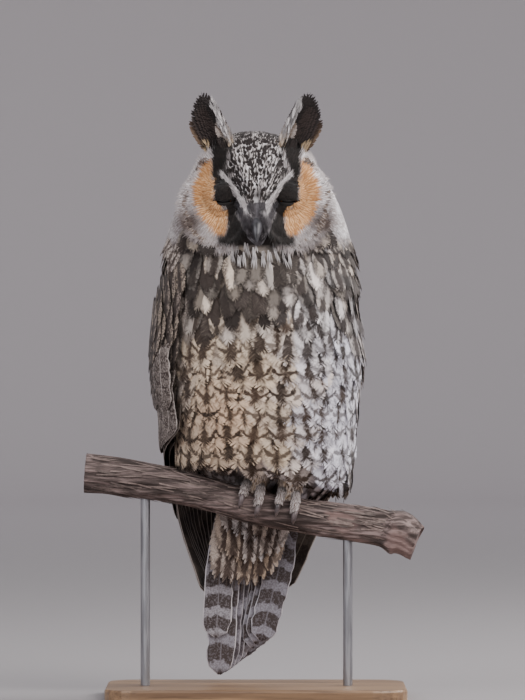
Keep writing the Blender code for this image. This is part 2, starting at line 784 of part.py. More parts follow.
def branch_frame(x):
    """Axis point, direction along, up and front of the branch at a place along x."""
    centre = Vector((x, *table_row(BRANCH_AXIS, x)))
    ahead = Vector((x + 1.0, *table_row(BRANCH_AXIS, x + 1.0)))
    behind = Vector((x - 1.0, *table_row(BRANCH_AXIS, x - 1.0)))
    along = (ahead - behind).normalized()
    front = Vector((0, -1, 0))
    up = along.cross(front).normalized()
    if up.z < 0:
        up = -up
    front = (front - along * front.dot(along)).normalized()
    return centre, along, up, front


def branch_radius(x, turn):
    """Radius of the branch: round where the feet grip, uneven elsewhere, with a knob."""
    rough = smooth(GRIP_HALF, GRIP_HALF + 20.0, abs(x - GRIP_X))
    radius = BRANCH_RADIUS + rough * 0.55 * math.sin(2 * turn + 0.045 * x)
    radius += rough * 0.35 * math.sin(3 * turn - 0.09 * x)
    radius += 0.9 * smooth(40.0, 100.0, abs(x))
    return radius + KNOB_SWELL * math.exp(-((x - KNOB_X) / KNOB_HALF) ** 2)


def make_perch(wood):
    """The cut length of branch."""
    rings = []
    start, end = BRANCH_AXIS[0][0], BRANCH_AXIS[-1][0]
    for i in range(BRANCH_STEPS + 1):
        x = mix(start, end, i / BRANCH_STEPS)
        centre, _, up, front = branch_frame(x)
        ring = []
        for k in range(BRANCH_SIDES):
            turn = math.tau * k / BRANCH_SIDES
            radius = branch_radius(x, turn)
            ring.append(centre + radius * (math.cos(turn) * up + math.sin(turn) * front))
        rings.append(ring)
    return loft("perch_branch", rings, wood)


def grip_point(x, along_shift, angle, reach):
    """A point over the branch at an angle from its top, towards the front."""
    centre, along, up, front = branch_frame(x)
    out = math.cos(angle) * up + math.sin(angle) * front
    return centre + along * along_shift + out * (BRANCH_RADIUS + reach), out, along


def make_foot(side, skin, horn):
    """One foot: a sole on the branch, an ankle and four toes, each with its talon."""
    x = LEG_X[side]
    centre, along, up, front = branch_frame(x)
    rings = []
    for angle in SOLE_ANGLES:
        thick = SOLE_THICK * (1.0 if abs(angle) < 20 else 0.7)
        ring = []
        for shift, reach in ((-1, GRIP_GAP), (1, GRIP_GAP), (1, thick * 0.7), (0.6, thick),
                             (-0.6, thick), (-1, thick * 0.7)):
            ring.append(grip_point(x, shift * SOLE_HALF, math.radians(angle), reach)[0])
        rings.append(ring)
    pieces = [loft("sole", rings, skin)]
    ankle = [centre + up * (BRANCH_RADIUS + 2.0), centre + up * (BRANCH_RADIUS + ANKLE_TOP)]
    pieces.append(tube("ankle", ankle, [ANKLE_RADIUS + 0.4, ANKLE_RADIUS], [along] * 2,
                       [front] * 2, 12, skin))
    for number, shift, reach_angle in TOES:
        sign = 1 if reach_angle > 0 else -1
        centres, radii, sides, ups = [], [], [], []
        splay = TOE_SPLAY if shift > 0 else -TOE_SPLAY
        for k in range(TOE_STEPS + 1):
            t = k / TOE_STEPS
            angle = math.radians(mix(12.0 * sign, reach_angle, t))
            knuckle = 1.0 + 0.09 * math.cos(t * math.tau * 2)
            radius = TOE_RADIUS * mix(1.0, 0.74, t) * knuckle
            point, out, axis = grip_point(x, shift + splay * t, angle, GRIP_GAP + TOE_LIFT + radius)
            centres.append(point)
            radii.append(radius)
            sides.append(axis)
            ups.append(out)
        pieces.append(tube("toe", centres, radii, sides, ups, 8, skin))
        make_talon(side, number, x, shift + splay, reach_angle, horn)
    unite("foot_" + side, pieces)


def make_talon(side, number, x, shift, start, horn):
    """A curved, tapered talon that goes on from the end of a toe round the branch."""
    sign = 1 if start > 0 else -1
    centres, radii, sides, ups = [], [], [], []
    toe_reach = GRIP_GAP + TOE_LIFT + TOE_RADIUS * 0.74
    first = math.degrees(GAP / (BRANCH_RADIUS + toe_reach)) * sign
    for k, grow in enumerate(TALON_TAPER):
        t = k / (len(TALON_TAPER) - 1)
        radius = TALON_RADIUS * grow
        angle = math.radians(start + first + sign * TALON_ARC * t)
        # The talon arches off the bark and comes back to it at its point
        reach = mix(toe_reach, GRIP_GAP + 0.5, t ** 1.5) + 1.0 * math.sin(math.pi * t)
        point, out, axis = grip_point(x, shift, angle, max(reach, GRIP_GAP + radius + 0.2))
        centres.append(point)
        radii.append(radius)
        sides.append(axis)
        ups.append(out)
    tube("talon_%s_%d" % (side, number), centres, radii, sides, ups, 7, horn, pointed=True)


def make_leg(side, torso, skin):
    """The feathered leg between the foot and the belly, fitted to the belly's underside."""
    centre, along, up, front = branch_frame(LEG_X[side])
    start = BRANCH_RADIUS + ANKLE_TOP + 2 * GAP
    leg = tube("leg_" + side, [centre + up * (start + h) for h in LEG_HEIGHTS], LEG_RADII,
               [along] * 4, [front] * 4, 16, skin)
    cut_away(leg, torso)
    move(leg, Vector((0, 0, -GAP)))


def make_stand(perch, wood, metal):
    """A flat base with rounded corners, and two rods up to the branch."""
    outline = []
    for corner in range(4):
        cx = (BASE_SIZE[0] / 2 - BASE_CORNER) * (1 if corner in (0, 3) else -1)
        cy = (BASE_SIZE[1] / 2 - BASE_CORNER) * (1 if corner in (0, 1) else -1)
        for k in range(CORNER_STEPS + 1):
            turn = math.pi / 2 * (corner + k / CORNER_STEPS)
            outline.append((cx, cy, math.cos(turn), math.sin(turn)))
    rings = []
    for height, inset in ((0.0, 0.6), (0.6, 0.0), (BASE_THICK - BASE_EDGE, 0.0),
                          (BASE_THICK - BASE_EDGE * 0.3, BASE_EDGE * 0.3), (BASE_THICK, BASE_EDGE)):
        rings.append([Vector((cx + (BASE_CORNER - inset) * c, cy + (BASE_CORNER - inset) * s, height))
                      for cx, cy, c, s in outline])
    loft("stand_base", rings, wood)
    for side, x in ROD_X.items():
        centre = branch_frame(x)[0]
        foot, top = Vector((x, centre.y, BASE_THICK + 2 * GAP)), Vector((x, centre.y, centre.z))
        across, deep = Vector((1, 0, 0)), Vector((0, 1, 0))
        rod = tube("stand_rod_" + side, [foot, top], [ROD_RADIUS] * 2, [across] * 2, [deep] * 2,
                   16, metal)
        cut_away(rod, perch)
        move(rod, Vector((0, 0, -GAP)))


def plain_finish(name, colour, roughness, metallic=0.0):
    """A plain finish."""
    made = bpy.data.materials.new(name)
    made.use_nodes = True
    shader = made.node_tree.nodes["Principled BSDF"]
    shader.inputs["Base Color"].default_value = (*colour, 1.0)
    shader.inputs["Roughness"].default_value = roughness
    shader.inputs["Metallic"].default_value = metallic
    return made


def main():
    """Build every piece of the owl, its perch and its stand."""
    for old in list(bpy.data.objects):
        bpy.data.objects.remove(old)
    plumage = plain_finish("breast_feathers", (0.42, 0.33, 0.25), 0.85)
    flight = plain_finish("flight_feathers", (0.13, 0.10, 0.085), 0.75)
    tail = plain_finish("tail_feathers", (0.25, 0.23, 0.22), 0.75)
    dark = plain_finish("tuft_feathers", (0.06, 0.045, 0.04), 0.8)
    horn = plain_finish("horn", (0.05, 0.05, 0.055), 0.35)
    toes = plain_finish("foot_feathers", (0.55, 0.48, 0.4), 0.85)
    glass = plain_finish("eye", (0.02, 0.012, 0.008), 0.08)
    bark = plain_finish("bark", (0.16, 0.11, 0.085), 0.9)
    board = plain_finish("stand_board", (0.3, 0.2, 0.13), 0.5)
    rod = plain_finish("stand_metal", (0.55, 0.55, 0.56), 0.3, 1.0)

    torso = make_torso(plumage)
    make_neck(plumage)
    head = make_head(plumage)
    make_bill(head, horn)
    perch = make_perch(bark)
    for side, sign in (("left", 1), ("right", -1)):
        ball("eye_" + side, eye_centre(sign), EYE_RADIUS, glass)
        make_tuft(side, sign, head, dark)
        make_wing(side, flight)
        make_leg(side, torso, plumage)
        make_foot(side, toes, horn)
    make_tail(tail)
    make_stand(perch, board, rod)


main()
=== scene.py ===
"""Looks of the long-eared owl: feathers, face, feet, bark and stand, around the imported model.

Places are worked out in millimetres, as the solids' source does, and scaled as meshes are made.
The owl faces -Y, its own left is +X and +Z is up.
"""
import math

import bpy
import numpy as np
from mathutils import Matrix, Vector


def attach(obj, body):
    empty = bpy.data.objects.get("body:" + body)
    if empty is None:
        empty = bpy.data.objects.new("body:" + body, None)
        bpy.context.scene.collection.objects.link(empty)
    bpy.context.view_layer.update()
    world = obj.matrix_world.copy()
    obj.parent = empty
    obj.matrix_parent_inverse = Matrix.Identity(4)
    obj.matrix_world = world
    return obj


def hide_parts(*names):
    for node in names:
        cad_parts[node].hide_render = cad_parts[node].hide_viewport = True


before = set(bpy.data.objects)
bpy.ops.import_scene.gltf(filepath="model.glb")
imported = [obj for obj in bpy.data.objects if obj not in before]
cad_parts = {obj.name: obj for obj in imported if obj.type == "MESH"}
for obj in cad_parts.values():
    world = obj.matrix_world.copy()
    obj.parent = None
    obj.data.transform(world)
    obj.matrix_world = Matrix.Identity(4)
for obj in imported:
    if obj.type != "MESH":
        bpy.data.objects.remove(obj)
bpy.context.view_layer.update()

MM = 0.001
SIGN = {"left": 1, "right": -1}
rng = np.random.default_rng(41)

# The body's sections, as the solids have them: height, centre x, centre y, half width,
# half depth, slope along x
BODY = (
    (118.0, 2.0, 24.0, 30.0, 17.0, -0.20),
    (136.0, 2.5, 23.0, 38.0, 20.0, -0.20),
    (143.0, 3.0, 21.5, 46.0, 21.5, -0.20),
    (148.0, 4.0, 15.5, 52.0, 27.5, -0.20),
    (152.0, 5.0, 8.5, 55.0, 34.5, -0.18),
    (156.0, 5.0, 2.5, 57.0, 40.5, -0.15),
    (162.0, 5.0, -1.5, 58.5, 45.0, -0.10),
    (176.0, 5.5, -3.5, 59.6, 48.5, 0.0),
    (201.0, 5.1, -5.0, 62.0, 51.0, 0.0),
    (227.0, 5.5, -5.0, 63.0, 52.0, 0.0),
    (252.0, 4.5, -3.0, 62.0, 51.0, 0.0),
    (271.0, 3.4, -1.0, 61.6, 49.0, 0.0),
    (284.0, 1.9, 1.0, 60.9, 47.5, 0.0),
    (296.0, 1.5, 1.5, 58.0, 46.5, 0.0),
    (309.0, 1.5, 0.5, 53.5, 45.5, 0.0),
    (322.0, 1.2, -1.0, 47.5, 43.5, 0.0),
    (334.0, 0.3, -2.5, 39.6, 38.5, 0.0),
    (347.0, -0.6, -4.5, 31.0, 28.5, 0.0),
    (354.0, -1.5, -6.0, 20.5, 18.0, 0.0),
    (357.0, -2.0, -6.5, 9.0, 8.0, 0.0),
)
BODY_LOW, HEAD_LOW, CROWN_TOP = 118.0, 284.0, 357.0
# The surface under the folded wings: height, centre x, centre y, half width, half depth.
# From 176 mm up to the head it is the body itself
WING_LIE = (
    (50.0, 0.0, 27.0, 25.5, 18.0),
    (63.0, 0.0, 26.0, 28.5, 21.0),
    (75.0, 0.0, 24.0, 32.5, 24.0),
    (87.0, 1.0, 22.0, 38.5, 27.5),
    (100.0, 1.5, 20.0, 44.0, 30.5),
    (112.0, 2.5, 18.0, 48.5, 33.5),
    (125.0, 3.0, 15.0, 51.5, 36.0),
    (138.0, 4.0, 10.0, 55.5, 40.0),
    (151.0, 5.0, 3.0, 58.0, 45.5),
    (163.0, 5.2, -1.8, 59.0, 48.0),
    *(row[:5] for row in BODY if 176.0 <= row[0] <= HEAD_LOW),
)
# How far the skin lies inside the solids' outline, on the body and on the face
COAT_DEPTH = 5.0
FACE_COAT = 1.6
# A small feather's own share of the baked map, for hair-like ones and for tufts
HAIR_PATCH = 0.003
TUFT_PATCH = 0.004

FACE_MIDDLE = 0.6
# Heights between which the flecked crown begins over the face
CROWN_START = (310.0, 314.0)
DISC_CENTRE = (24.0, 314.0)
DISC_HALF = (19.0, 27.0)
DISC_DIP = 6.0
DISC_RIM = 2.4
BROW_RIDGE = 2.4
BROW_HALF = 9.0
BILL_MOUND = 4.0
MOUND_HALF = 8.0
EYE_CENTRE = (19.0, -28.4, 317.5)
EYE_RADIUS = 9.5
LID_RADIUS = 10.9
LID_GAP = 0.25
EYE_TURN = math.radians(12.0)
EYE_PITCH = math.radians(14.0)

WING_SPAN = {"right": (-56.0, -155.5), "left": (124.0, 198.5)}
WING_SWEEP = {"right": -30.0, "left": 6.0}
SWEEP_FROM, SWEEP_TO = 172.0, 150.0
WING_TIPS = {"right": (-93.0, -128.0), "left": (150.0, 184.0)}
PRIMARY_HALF = 7.4

TAIL_ROOT_HEIGHT = 106.0
TAIL_ROOT_SPREAD = (-21.0, 23.0)
TAIL_TIP_SPREAD = (-23.5, 3.0)
TAIL_FRONT = 16.5
TAIL_LEAN = math.tan(math.radians(7.0))
TAIL_LOWEST = 13.0
TAIL_FEATHERS = 12
TAIL_FEATHER_HALF = 9.3
TUFT_BASE = (20.0, -20.0, 346.0)
# How far the long feathers of an ear tuft rise over its base, from the innermost outwards
TUFT_RISES = (22.0, 29.0, 34.0, 37.5, 39.5, 39.5, 38.0, 35.0, 30.0, 23.0)

BRANCH_AXIS = (
    (-108.0, -9.0, 143.0),
    (-86.0, -10.0, 139.8),
    (-60.0, -11.5, 136.0),
    (-35.5, -12.0, 130.4),
    (0.0, -12.0, 120.8),
    (40.6, -12.0, 113.5),
    (78.6, -12.5, 108.1),
    (92.0, -14.0, 104.5),
    (101.0, -15.5, 98.5),
)
BRANCH_RADIUS = 10.5
BRANCH_SWELL = 0.9
KNOB_X = 90.0
KNOB_HALF = 7.0
KNOB_SWELL = 3.4
# The bark is smooth where the feet grip it
GRIP_X = 8.0
LEG_X = {"right": -4.0, "left": 19.0}
ANKLE_TOP = 7.8
TOE_RADIUS = 3.1
TOE_SPLAY = 1.6
GRIP_GAP = 0.45
# Toes: number, place along the branch and angle of the end round it
TOES = ((1, 3.5, -78.0), (2, -4.5, 62.0), (3, 3.6, 78.0), (4, -4.0, -70.0))
TALON_ARC = 42.0
TALON_RADIUS = 1.9


def srgb(red, green, blue):
    """A linear colour from the screen values 0 to 255."""
    screen = np.array((red, green, blue)) / 255.0
    return np.where(screen <= 0.04045, screen / 12.92, ((screen + 0.055) / 1.055) ** 2.4)


BUFF = srgb(218, 196, 171)
PEACH = srgb(222, 186, 156)
WHITE = srgb(236, 229, 229)
COOL = srgb(222, 219, 229)
ORANGE = srgb(236, 194, 146)
GREY = srgb(172, 163, 162)
BLACK = srgb(20, 15, 13)
BROWN_INK = srgb(56, 41, 30)
BACK_INK = srgb(46, 35, 31)
CROWN_PALE = srgb(206, 196, 192)
CROWN_DARK = srgb(40, 32, 30)
CROWN_INK = srgb(34, 27, 26)
# What a feather carries for its material: two colours and its marks, which are the shares of
# streak, bar, the bar's place and flecks, or on long feathers of rim, bars, phase and scribbles
COLOURS = ("Pale", "Ink", "Mark")
NO_MARKS = (0.0, 0.0, 0.0, 0.0)
# Wing feathers by kind: pale, ink, shares of rim and bars, how far the phase shifts across the
# row, or None for one at random, and share of scribbles
WING_KINDS = {
    "primary": (srgb(168, 154, 142), srgb(40, 31, 28), 0.7, 0.22, 1.0, 0.1),
    "secondary": (srgb(176, 162, 150), srgb(52, 41, 36), 0.45, 0.45, 0.6, 0.6),
    "covert": (srgb(196, 184, 176), srgb(54, 42, 38), 0.3, 0.35, None, 0.9),
}


def mix(a, b, t):
    """The value part of the way from one to another."""
    return a + (b - a) * t


def smooth(edge0, edge1, value):
    """A soft step from 0 to 1 between two values."""
    t = np.clip((value - edge0) / (edge1 - edge0), 0.0, 1.0)
    return t * t * (3 - 2 * t)


def hump(value, centre, half):
    """A bell of height 1 round a centre."""
    return np.exp(-((value - centre) / half) ** 2)


def blend(a, b, t):
    """Colours part of the way from one to another, a row for each share."""
    t = np.asarray(t)[..., None]
    return a * (1 - t) + b * t


def columns(*values):
    """Numbers or arrays side by side as rows, such as x, y and z."""
    return np.stack(np.broadcast_arrays(*values), axis=-1)


def pick(keep, *values):
    """The same choice from several arrays."""
    return [value[keep] for value in values]


def unit(vectors):
    """Vectors at length one."""
    vectors = np.asarray(vectors, float)
    return vectors / np.maximum(np.linalg.norm(vectors, axis=-1, keepdims=True), 1e-9)


def table_rows(table, height):
    """Values of a table at heights, on a smooth curve through its rows."""
    rows = np.array(table)
    levels = rows[:, 0]
    height = np.clip(np.asarray(height, float), levels[0], levels[-1])
    i = np.clip(np.searchsorted(levels, height, "right") - 1, 0, len(rows) - 2)
    low, high = rows[i], rows[i + 1]
    before, after = rows[np.maximum(i - 1, 0)], rows[np.minimum(i + 2, len(rows) - 1)]
    span = high[..., :1] - low[..., :1]
    t = (height[..., None] - low[..., :1]) / span
    leave = (high - before) / (high[..., :1] - before[..., :1]) * span
    arrive = (after - low) / (after[..., :1] - low[..., :1]) * span
    value = (low + leave * (t - 2 * t * t + t ** 3) + (high - low) * (3 * t * t - 2 * t ** 3)
             + arrive * (t ** 3 - t * t))
    return [value[..., k] for k in range(1, rows.shape[1])]


def disc_reach(x, height):
    """Distance from the middle of the nearer half disc, in shares of its size."""
    return np.hypot((np.abs(x) - DISC_CENTRE[0]) / DISC_HALF[0], (height - DISC_CENTRE[1]) / DISC_HALF[1])


def disc_place(sign, reach, turn):
    """Place in a half disc, seen from the front, at a reach and a turn round its middle."""
    x = sign * (DISC_CENTRE[0] + DISC_HALF[0] * reach * np.cos(turn))
    return x, DISC_CENTRE[1] + DISC_HALF[1] * reach * np.sin(turn)


def face_relief(x, height):
    """How far the face stands out or dips at a place seen from the front."""
    away = disc_reach(x, height)
    disc = DISC_RIM * hump(away, 1.08, 0.13) - DISC_DIP * (1 - smooth(0.25, 1.0, away))
    ridge = smooth(292.0, 302.0, height) * (1 - smooth(326.0, 346.0, height)) * hump(x, 0.0, BROW_HALF)
    mound = hump(x, 0.0, MOUND_HALF) * hump(height, 300.0, MOUND_HALF)
    return disc + BROW_RIDGE * ridge + BILL_MOUND * mound


def body_point(angle, height, offset=0.0):
    """Points on the body, the face's relief included, or off it by an offset."""
    cx, cy, half_width, half_depth, slope = table_rows(BODY, height)
    front = smooth(0.1, 0.45, np.cos(angle)) * smooth(HEAD_LOW, 292.0, height)
    reach = offset + face_relief(cx + half_width * np.sin(angle), height) * front
    x = cx + (half_width + reach) * np.sin(angle)
    return columns(x, cy - (half_depth + reach) * np.cos(angle), height + slope * x)


def wing_point(angle, height, offset=0.0):
    """Points over the surface that the folded wings lie on."""
    cx, cy, half_width, half_depth = table_rows(WING_LIE, height)
    return columns(cx + (half_width + offset) * np.sin(angle),
                   cy - (half_depth + offset) * np.cos(angle), height)


def local_frame(surface, angle, height, offset=0.0):
    """Points of a surface with the directions out of it and down it there."""
    here = surface(angle, height, offset)
    across = unit(surface(angle + 0.02, height, offset) - here)
    down = unit(surface(angle, height - 1.0, offset) - here)
    return here, unit(np.cross(down, across)), down


def face_angle(x, height, limit=1.0):
    """Angle round the body of a place seen from the front, short of a limit at the sides."""
    cx, _, half_width, _, _ = table_rows(BODY, height)
    return np.arcsin(np.clip((x - cx) / half_width, -limit, limit))


def unwrap(angle, height):
    """Place of a root on the body's own unwrap, round it and up it."""
    turn = np.mod(angle / math.tau + 0.5, 1.0)
    return 0.01 + 0.98 * columns(turn, (height - BODY_LOW) / (CROWN_TOP - BODY_LOW))


def turned(along, out, spread):
    """Directions turned at random about the outward ones."""
    angle = rng.normal(0.0, spread, len(out))[:, None]
    return along * np.cos(angle) + np.cross(out, along) * np.sin(angle)


def new_mesh(name, points, faces, material, uv, bake, colours=(), rounded=True):
    """A piece from points in millimetres and triangles, with its two maps and its colours."""
    mesh = bpy.data.meshes.new(name)
    mesh.vertices.add(len(points))
    mesh.vertices.foreach_set("co", (points * MM).ravel())
    mesh.loops.add(faces.size)
    mesh.loops.foreach_set("vertex_index", faces.ravel())
    mesh.polygons.add(len(faces))
    mesh.polygons.foreach_set("loop_start", np.arange(len(faces)) * 3)
    mesh.update(calc_edges=True)
    mesh.validate()
    mesh.polygons.foreach_set("use_smooth", np.full(len(mesh.polygons), rounded))
    order = np.zeros(len(mesh.loops), int)
    mesh.loops.foreach_get("vertex_index", order)
    for layer, values in (("Feather", uv), ("OFBake", bake)):
        mesh.uv_layers.new(name=layer).data.foreach_set("uv", values[order].ravel())
    mesh.uv_layers["Feather"].active_render = True
    for layer, values in zip(COLOURS, colours):
        rows = np.ones((len(points), 4))
        rows[:, :values.shape[1]] = values
        mesh.attributes.new(layer, "FLOAT_COLOR", "POINT").data.foreach_set("color", rows.ravel())
    piece = bpy.data.objects.new(name, mesh)
    bpy.context.scene.collection.objects.link(piece)
    mesh.materials.append(material)
    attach(piece, "root")
    return piece


class Field:
    """A number or colour in a node graph, which plain operators work on."""

    def __init__(self, nodes, socket):
        self.nodes = nodes
        self.socket = socket

    def __add__(self, other):
        return self.nodes.math("ADD", self, other)

    def __sub__(self, other):
        return self.nodes.math("SUBTRACT", self, other)

    def __mul__(self, other):
        return self.nodes.math("MULTIPLY", self, other)

    def __abs__(self):
        return self.nodes.math("ABSOLUTE", self)


class Nodes:
    """A short way to write a material's node graph."""

    def __init__(self, name, roughness, **fixed):
        self.material = bpy.data.materials.new(name)
        self.material.use_nodes = True
        self.tree = self.material.node_tree
        self.shader = self.tree.nodes["Principled BSDF"]
        for socket, value in {"Roughness": roughness, **fixed}.items():
            self.put(self.shader.inputs[socket.replace("_", " ")], value)

    def put(self, socket, value):
        """Link a field to a socket, or set the socket to a value."""
        if isinstance(value, Field):
            self.tree.links.new(value.socket, socket)
        else:
            socket.default_value = value

    def node(self, kind, inputs=(), **settings):
        """A new node with its settings, and its inputs by place or by name."""
        made = self.tree.nodes.new("ShaderNode" + kind)
        for setting, value in settings.items():
            setattr(made, setting, value)
        for key, value in dict(inputs).items():
            self.put(made.inputs[key], value)
        return made

    def field(self, kind, inputs=(), output=0, **settings):
        return Field(self, self.node(kind, inputs, **settings).outputs[output])

    def math(self, operation, *values):
        return self.field("Math", enumerate(values), operation=operation)

    def most(self, first, *others):
        """The largest of several fields."""
        for other in others:
            first = self.math("MAXIMUM", first, other)
        return first

    def step(self, *values):
        """A soft step over a field, from its low edge to its high one, between two values if given."""
        return self.field("MapRange", enumerate(values), interpolation_type="SMOOTHSTEP")

    def mix(self, factor, a, b):
        a, b = (colour if isinstance(colour, Field) else (*colour, 1.0) for colour in (a, b))
        return self.field("Mix", {0: factor, 6: a, 7: b}, 2, data_type="RGBA")

    def noise(self, scale, detail, rough=0.5, vector=None):
        inputs = {"Vector": vector or self.place(), "Scale": scale, "Detail": detail, "Roughness": rough}
        return self.field("TexNoise", inputs, "Fac")

    def hair(self, u, slant, seed):
        """Noise drawn out along a feather's barbs."""
        vector = self.field("CombineXYZ", enumerate((u * 5.0, slant * 42.0, seed * 90.0)))
        return self.noise(1.0, 3.0, 0.6, vector) - 0.5

    def place(self):
        return self.field("TexCoord", output="Object")

    def stretched(self, scale):
        return self.field("Mapping", {"Vector": self.place(), "Scale": scale}, "Vector")

    def feather_place(self):
        """Place across and along the feather, and the distance from its shaft."""
        uv = self.field("UVMap", uv_map="Feather")
        split = self.node("SeparateXYZ", {0: uv})
        u, v = Field(self, split.outputs[0]), Field(self, split.outputs[1])
        return u, v, abs(u * 2.0 - 1.0)

    def feather_colours(self):
        """The feather's two colours and its four marks."""
        pale, ink = (self.field("Attribute", output="Color", attribute_name=name) for name in COLOURS[:2])
        marks = self.node("Attribute", attribute_name="Mark")
        split = self.node("SeparateColor", {0: Field(self, marks.outputs["Color"])})
        shares = (*split.outputs[:3], marks.outputs["Alpha"])
        return pale, ink, *(Field(self, share) for share in shares)

    def bump(self, height, strength, distance=0.0005):
        inputs = {"Height": height, "Strength": strength, "Distance": distance}
        self.put(self.shader.inputs["Normal"], self.field("Bump", inputs))

    def finish(self, colour):
        self.put(self.shader.inputs["Base Color"], colour)
        return self.material


def plumage_material():
    """Body feathers: pale with a dark shaft streak, a ragged cross-bar and fine flecks."""
    n = Nodes("plumage", 0.82, Sheen_Weight=0.15, Specular_IOR_Level=0.25)
    pale, ink, streak, bar, bar_place, fleck_share = n.feather_colours()
    u, v, across = n.feather_place()
    ragged = n.noise(420.0, 3.0) - 0.5
    blotchy = n.noise(130.0, 2.0) - 0.5
    hair = n.hair(u, v - across * 0.3, bar_place)
    # The streak runs on over the feather's tip, so that those of a column join into one line
    width = streak * n.step(v, 0.60, 1.0, 1.0, 1.15)
    inside = width - (across + hair * 0.55 + blotchy * 0.70 + ragged * 0.55)
    in_streak = n.step(inside, -0.24, 0.10)
    # The bar bows towards the root at the edges, so that each pale tip is rounded
    bowed = across * across * 0.20 + v + ragged * 0.14 + blotchy * 0.22
    off_bar = abs(bowed - bar_place)
    in_bar = n.step(off_bar + hair * 0.05, 0.030, 0.070, 1.0, 0.0) * bar
    # Flecks gather round the bar and the streak as a dark dust
    fine = n.noise(1050.0, 2.0)
    near = n.most(n.step(off_bar, 0.04, 0.13, 1.0, 0.0), n.step(inside, -0.25, -0.05))
    in_fleck = n.step(fine, 0.50, 0.57) * (fleck_share + near * bar * 0.5)
    dark = n.math("MINIMUM", n.most(in_streak, in_bar, in_fleck), 1.0)
    tone = n.mix(n.step(blotchy, -0.25, 0.25, 0.0, 0.30), pale, n.mix(0.5, pale, ink))
    shade = n.mix(n.step(hair, -0.05, 0.28, 0.0, 0.32), tone, ink)
    inked = n.mix(n.step(hair, -0.05, 0.25, 0.0, 0.16), ink, pale)
    n.bump(hair + fine * 0.5, 0.5, 0.0004)
    return n.finish(n.mix(dark, shade, inked))


def flight_material(name, bands, pale_bar):
    """Flight feathers: dark, with broken paler bars, fine pale scribbles, a rim and a shaft."""
    n = Nodes(name, 0.66, Specular_IOR_Level=0.3)
    pale, ink, rim_share, band_share, phase, scribble_share = n.feather_colours()
    _, v, across = n.feather_place()
    ragged = n.noise(300.0, 4.0) - 0.5
    fine = n.noise(800.0, 3.0, 0.7)
    along = v + ragged * 0.09 - across * 0.04
    wave = n.math("SINE", along * (bands * math.tau) + phase * 6.0)
    in_bar = n.step(wave, 0.0, 0.6) * band_share * n.step(fine, 0.40, 0.56, 0.55, 1.0)
    in_bar = n.most(in_bar, n.step(fine, 0.50, 0.58) * scribble_share)
    tone = n.mix(in_bar * pale_bar, ink, pale)
    rim = n.step(across, 0.90, 0.96) * rim_share * n.step(v, 0.1, 0.35)
    tone = n.mix(rim, tone, n.mix(0.35, pale, WHITE))
    shaft = n.step(across, 0.03, 0.06, 0.6, 0.0)
    n.bump(n.math("SINE", (v - across * 0.12) * 420.0), 0.25, 0.0002)
    return n.finish(n.mix(shaft, tone, n.mix(0.4, ink, pale)))


def skin_material():
    """What shows between the feathers: their own colours, in shade."""
    n = Nodes("skin", 0.9)
    pale, ink = n.feather_colours()[:2]
    patch = n.step(n.noise(260.0, 3.0), 0.42, 0.62)
    n.bump(n.noise(700.0, 3.0), 0.5)
    return n.finish(n.mix(patch * 0.5 + 0.35, pale, ink))


def plain_material(name, light, dark, scale, roughness, bump):
    """A surface of two tones in a noise pattern."""
    n = Nodes(name, roughness)
    grain = n.noise(scale, 4.0)
    n.bump(grain, bump)
    return n.finish(n.mix(n.step(grain, 0.35, 0.68), light, dark))


def brow_line(height):
    """Distance from the face's middle to the white brow stroke, and above it to the crown's edge."""
    return np.interp(height, (309.0, 330.0, 334.0, 350.0), (5.5, 20.5, 18.5, 14.5))


def face_zones(x, height):
    """Shares of orange, black, white brow and bristly grey on the front of the face."""
    side = np.abs(x - 0.4)
    inner = np.interp(height, (291.0, 296.0, 303.0, 308.0, 312.0, 318.0, 330.0, 341.0),
                      (19.0, 16.5, 16.5, 19.5, 22.5, 25.0, 26.5, 27.5))
    outer = np.interp(height, (289.0, 293.0, 299.0, 306.0, 315.0, 323.0, 335.0, 342.0),
                      (21.0, 26.0, 31.5, 36.0, 39.0, 39.5, 35.5, 30.0))
    orange = smooth(-1.2, 1.4, side - inner) * smooth(-1.0, 1.4, outer - side)
    orange = orange * smooth(289.5, 293.0, height) * (1 - smooth(338.5, 343.0, height))
    # The white stroke runs from above the eye down towards the bill, the crown's edge goes on up
    line = brow_line(height)
    brow = 0.7 * np.exp(-((side - line) / 1.7) ** 4) * smooth(304.0, 308.5, height)
    brow = brow * (1 - smooth(329.5, 333.0, height))
    wedge_half = np.interp(height, (288.0, 312.0), (1.5, 13.0))
    within = np.where(height < 308.0, wedge_half, line)
    black = smooth(-1.0, 1.2, inner - side) * smooth(-0.5, 1.5, side - within)
    above = smooth(338.0, 342.0, height) * (1 - smooth(24.0, 29.0, side)) * smooth(-0.5, 1.5, side - line)
    black = np.maximum(black, above) * smooth(287.0, 290.0, height) * (1 - smooth(350.0, 354.0, height))
    bib = smooth(HEAD_LOW, 286.5, height) * (1 - smooth(291.0, 294.5, height))
    bib = bib * (1 - smooth(21.0, 26.0, side)) * (1 - orange)
    spot = hump(side, 0.0, 4.5) * hump(height, 317.5, 4.0)
    from_eye = np.hypot(side - EYE_CENTRE[0] + 1.0, (height - 315.5) * 1.1)
    round_eye = (1 - smooth(7.0, 9.5, from_eye)) * smooth(-1.0, 1.0, side - line)
    black = np.clip(np.maximum(np.maximum(black, round_eye), bib) + spot, 0, 1)
    wedge = smooth(-1.5, 1.0, wedge_half - side) * smooth(287.0, 290.0, height)
    return orange * (1 - round_eye), black, brow, wedge * (1 - smooth(310.0, 315.0, height))


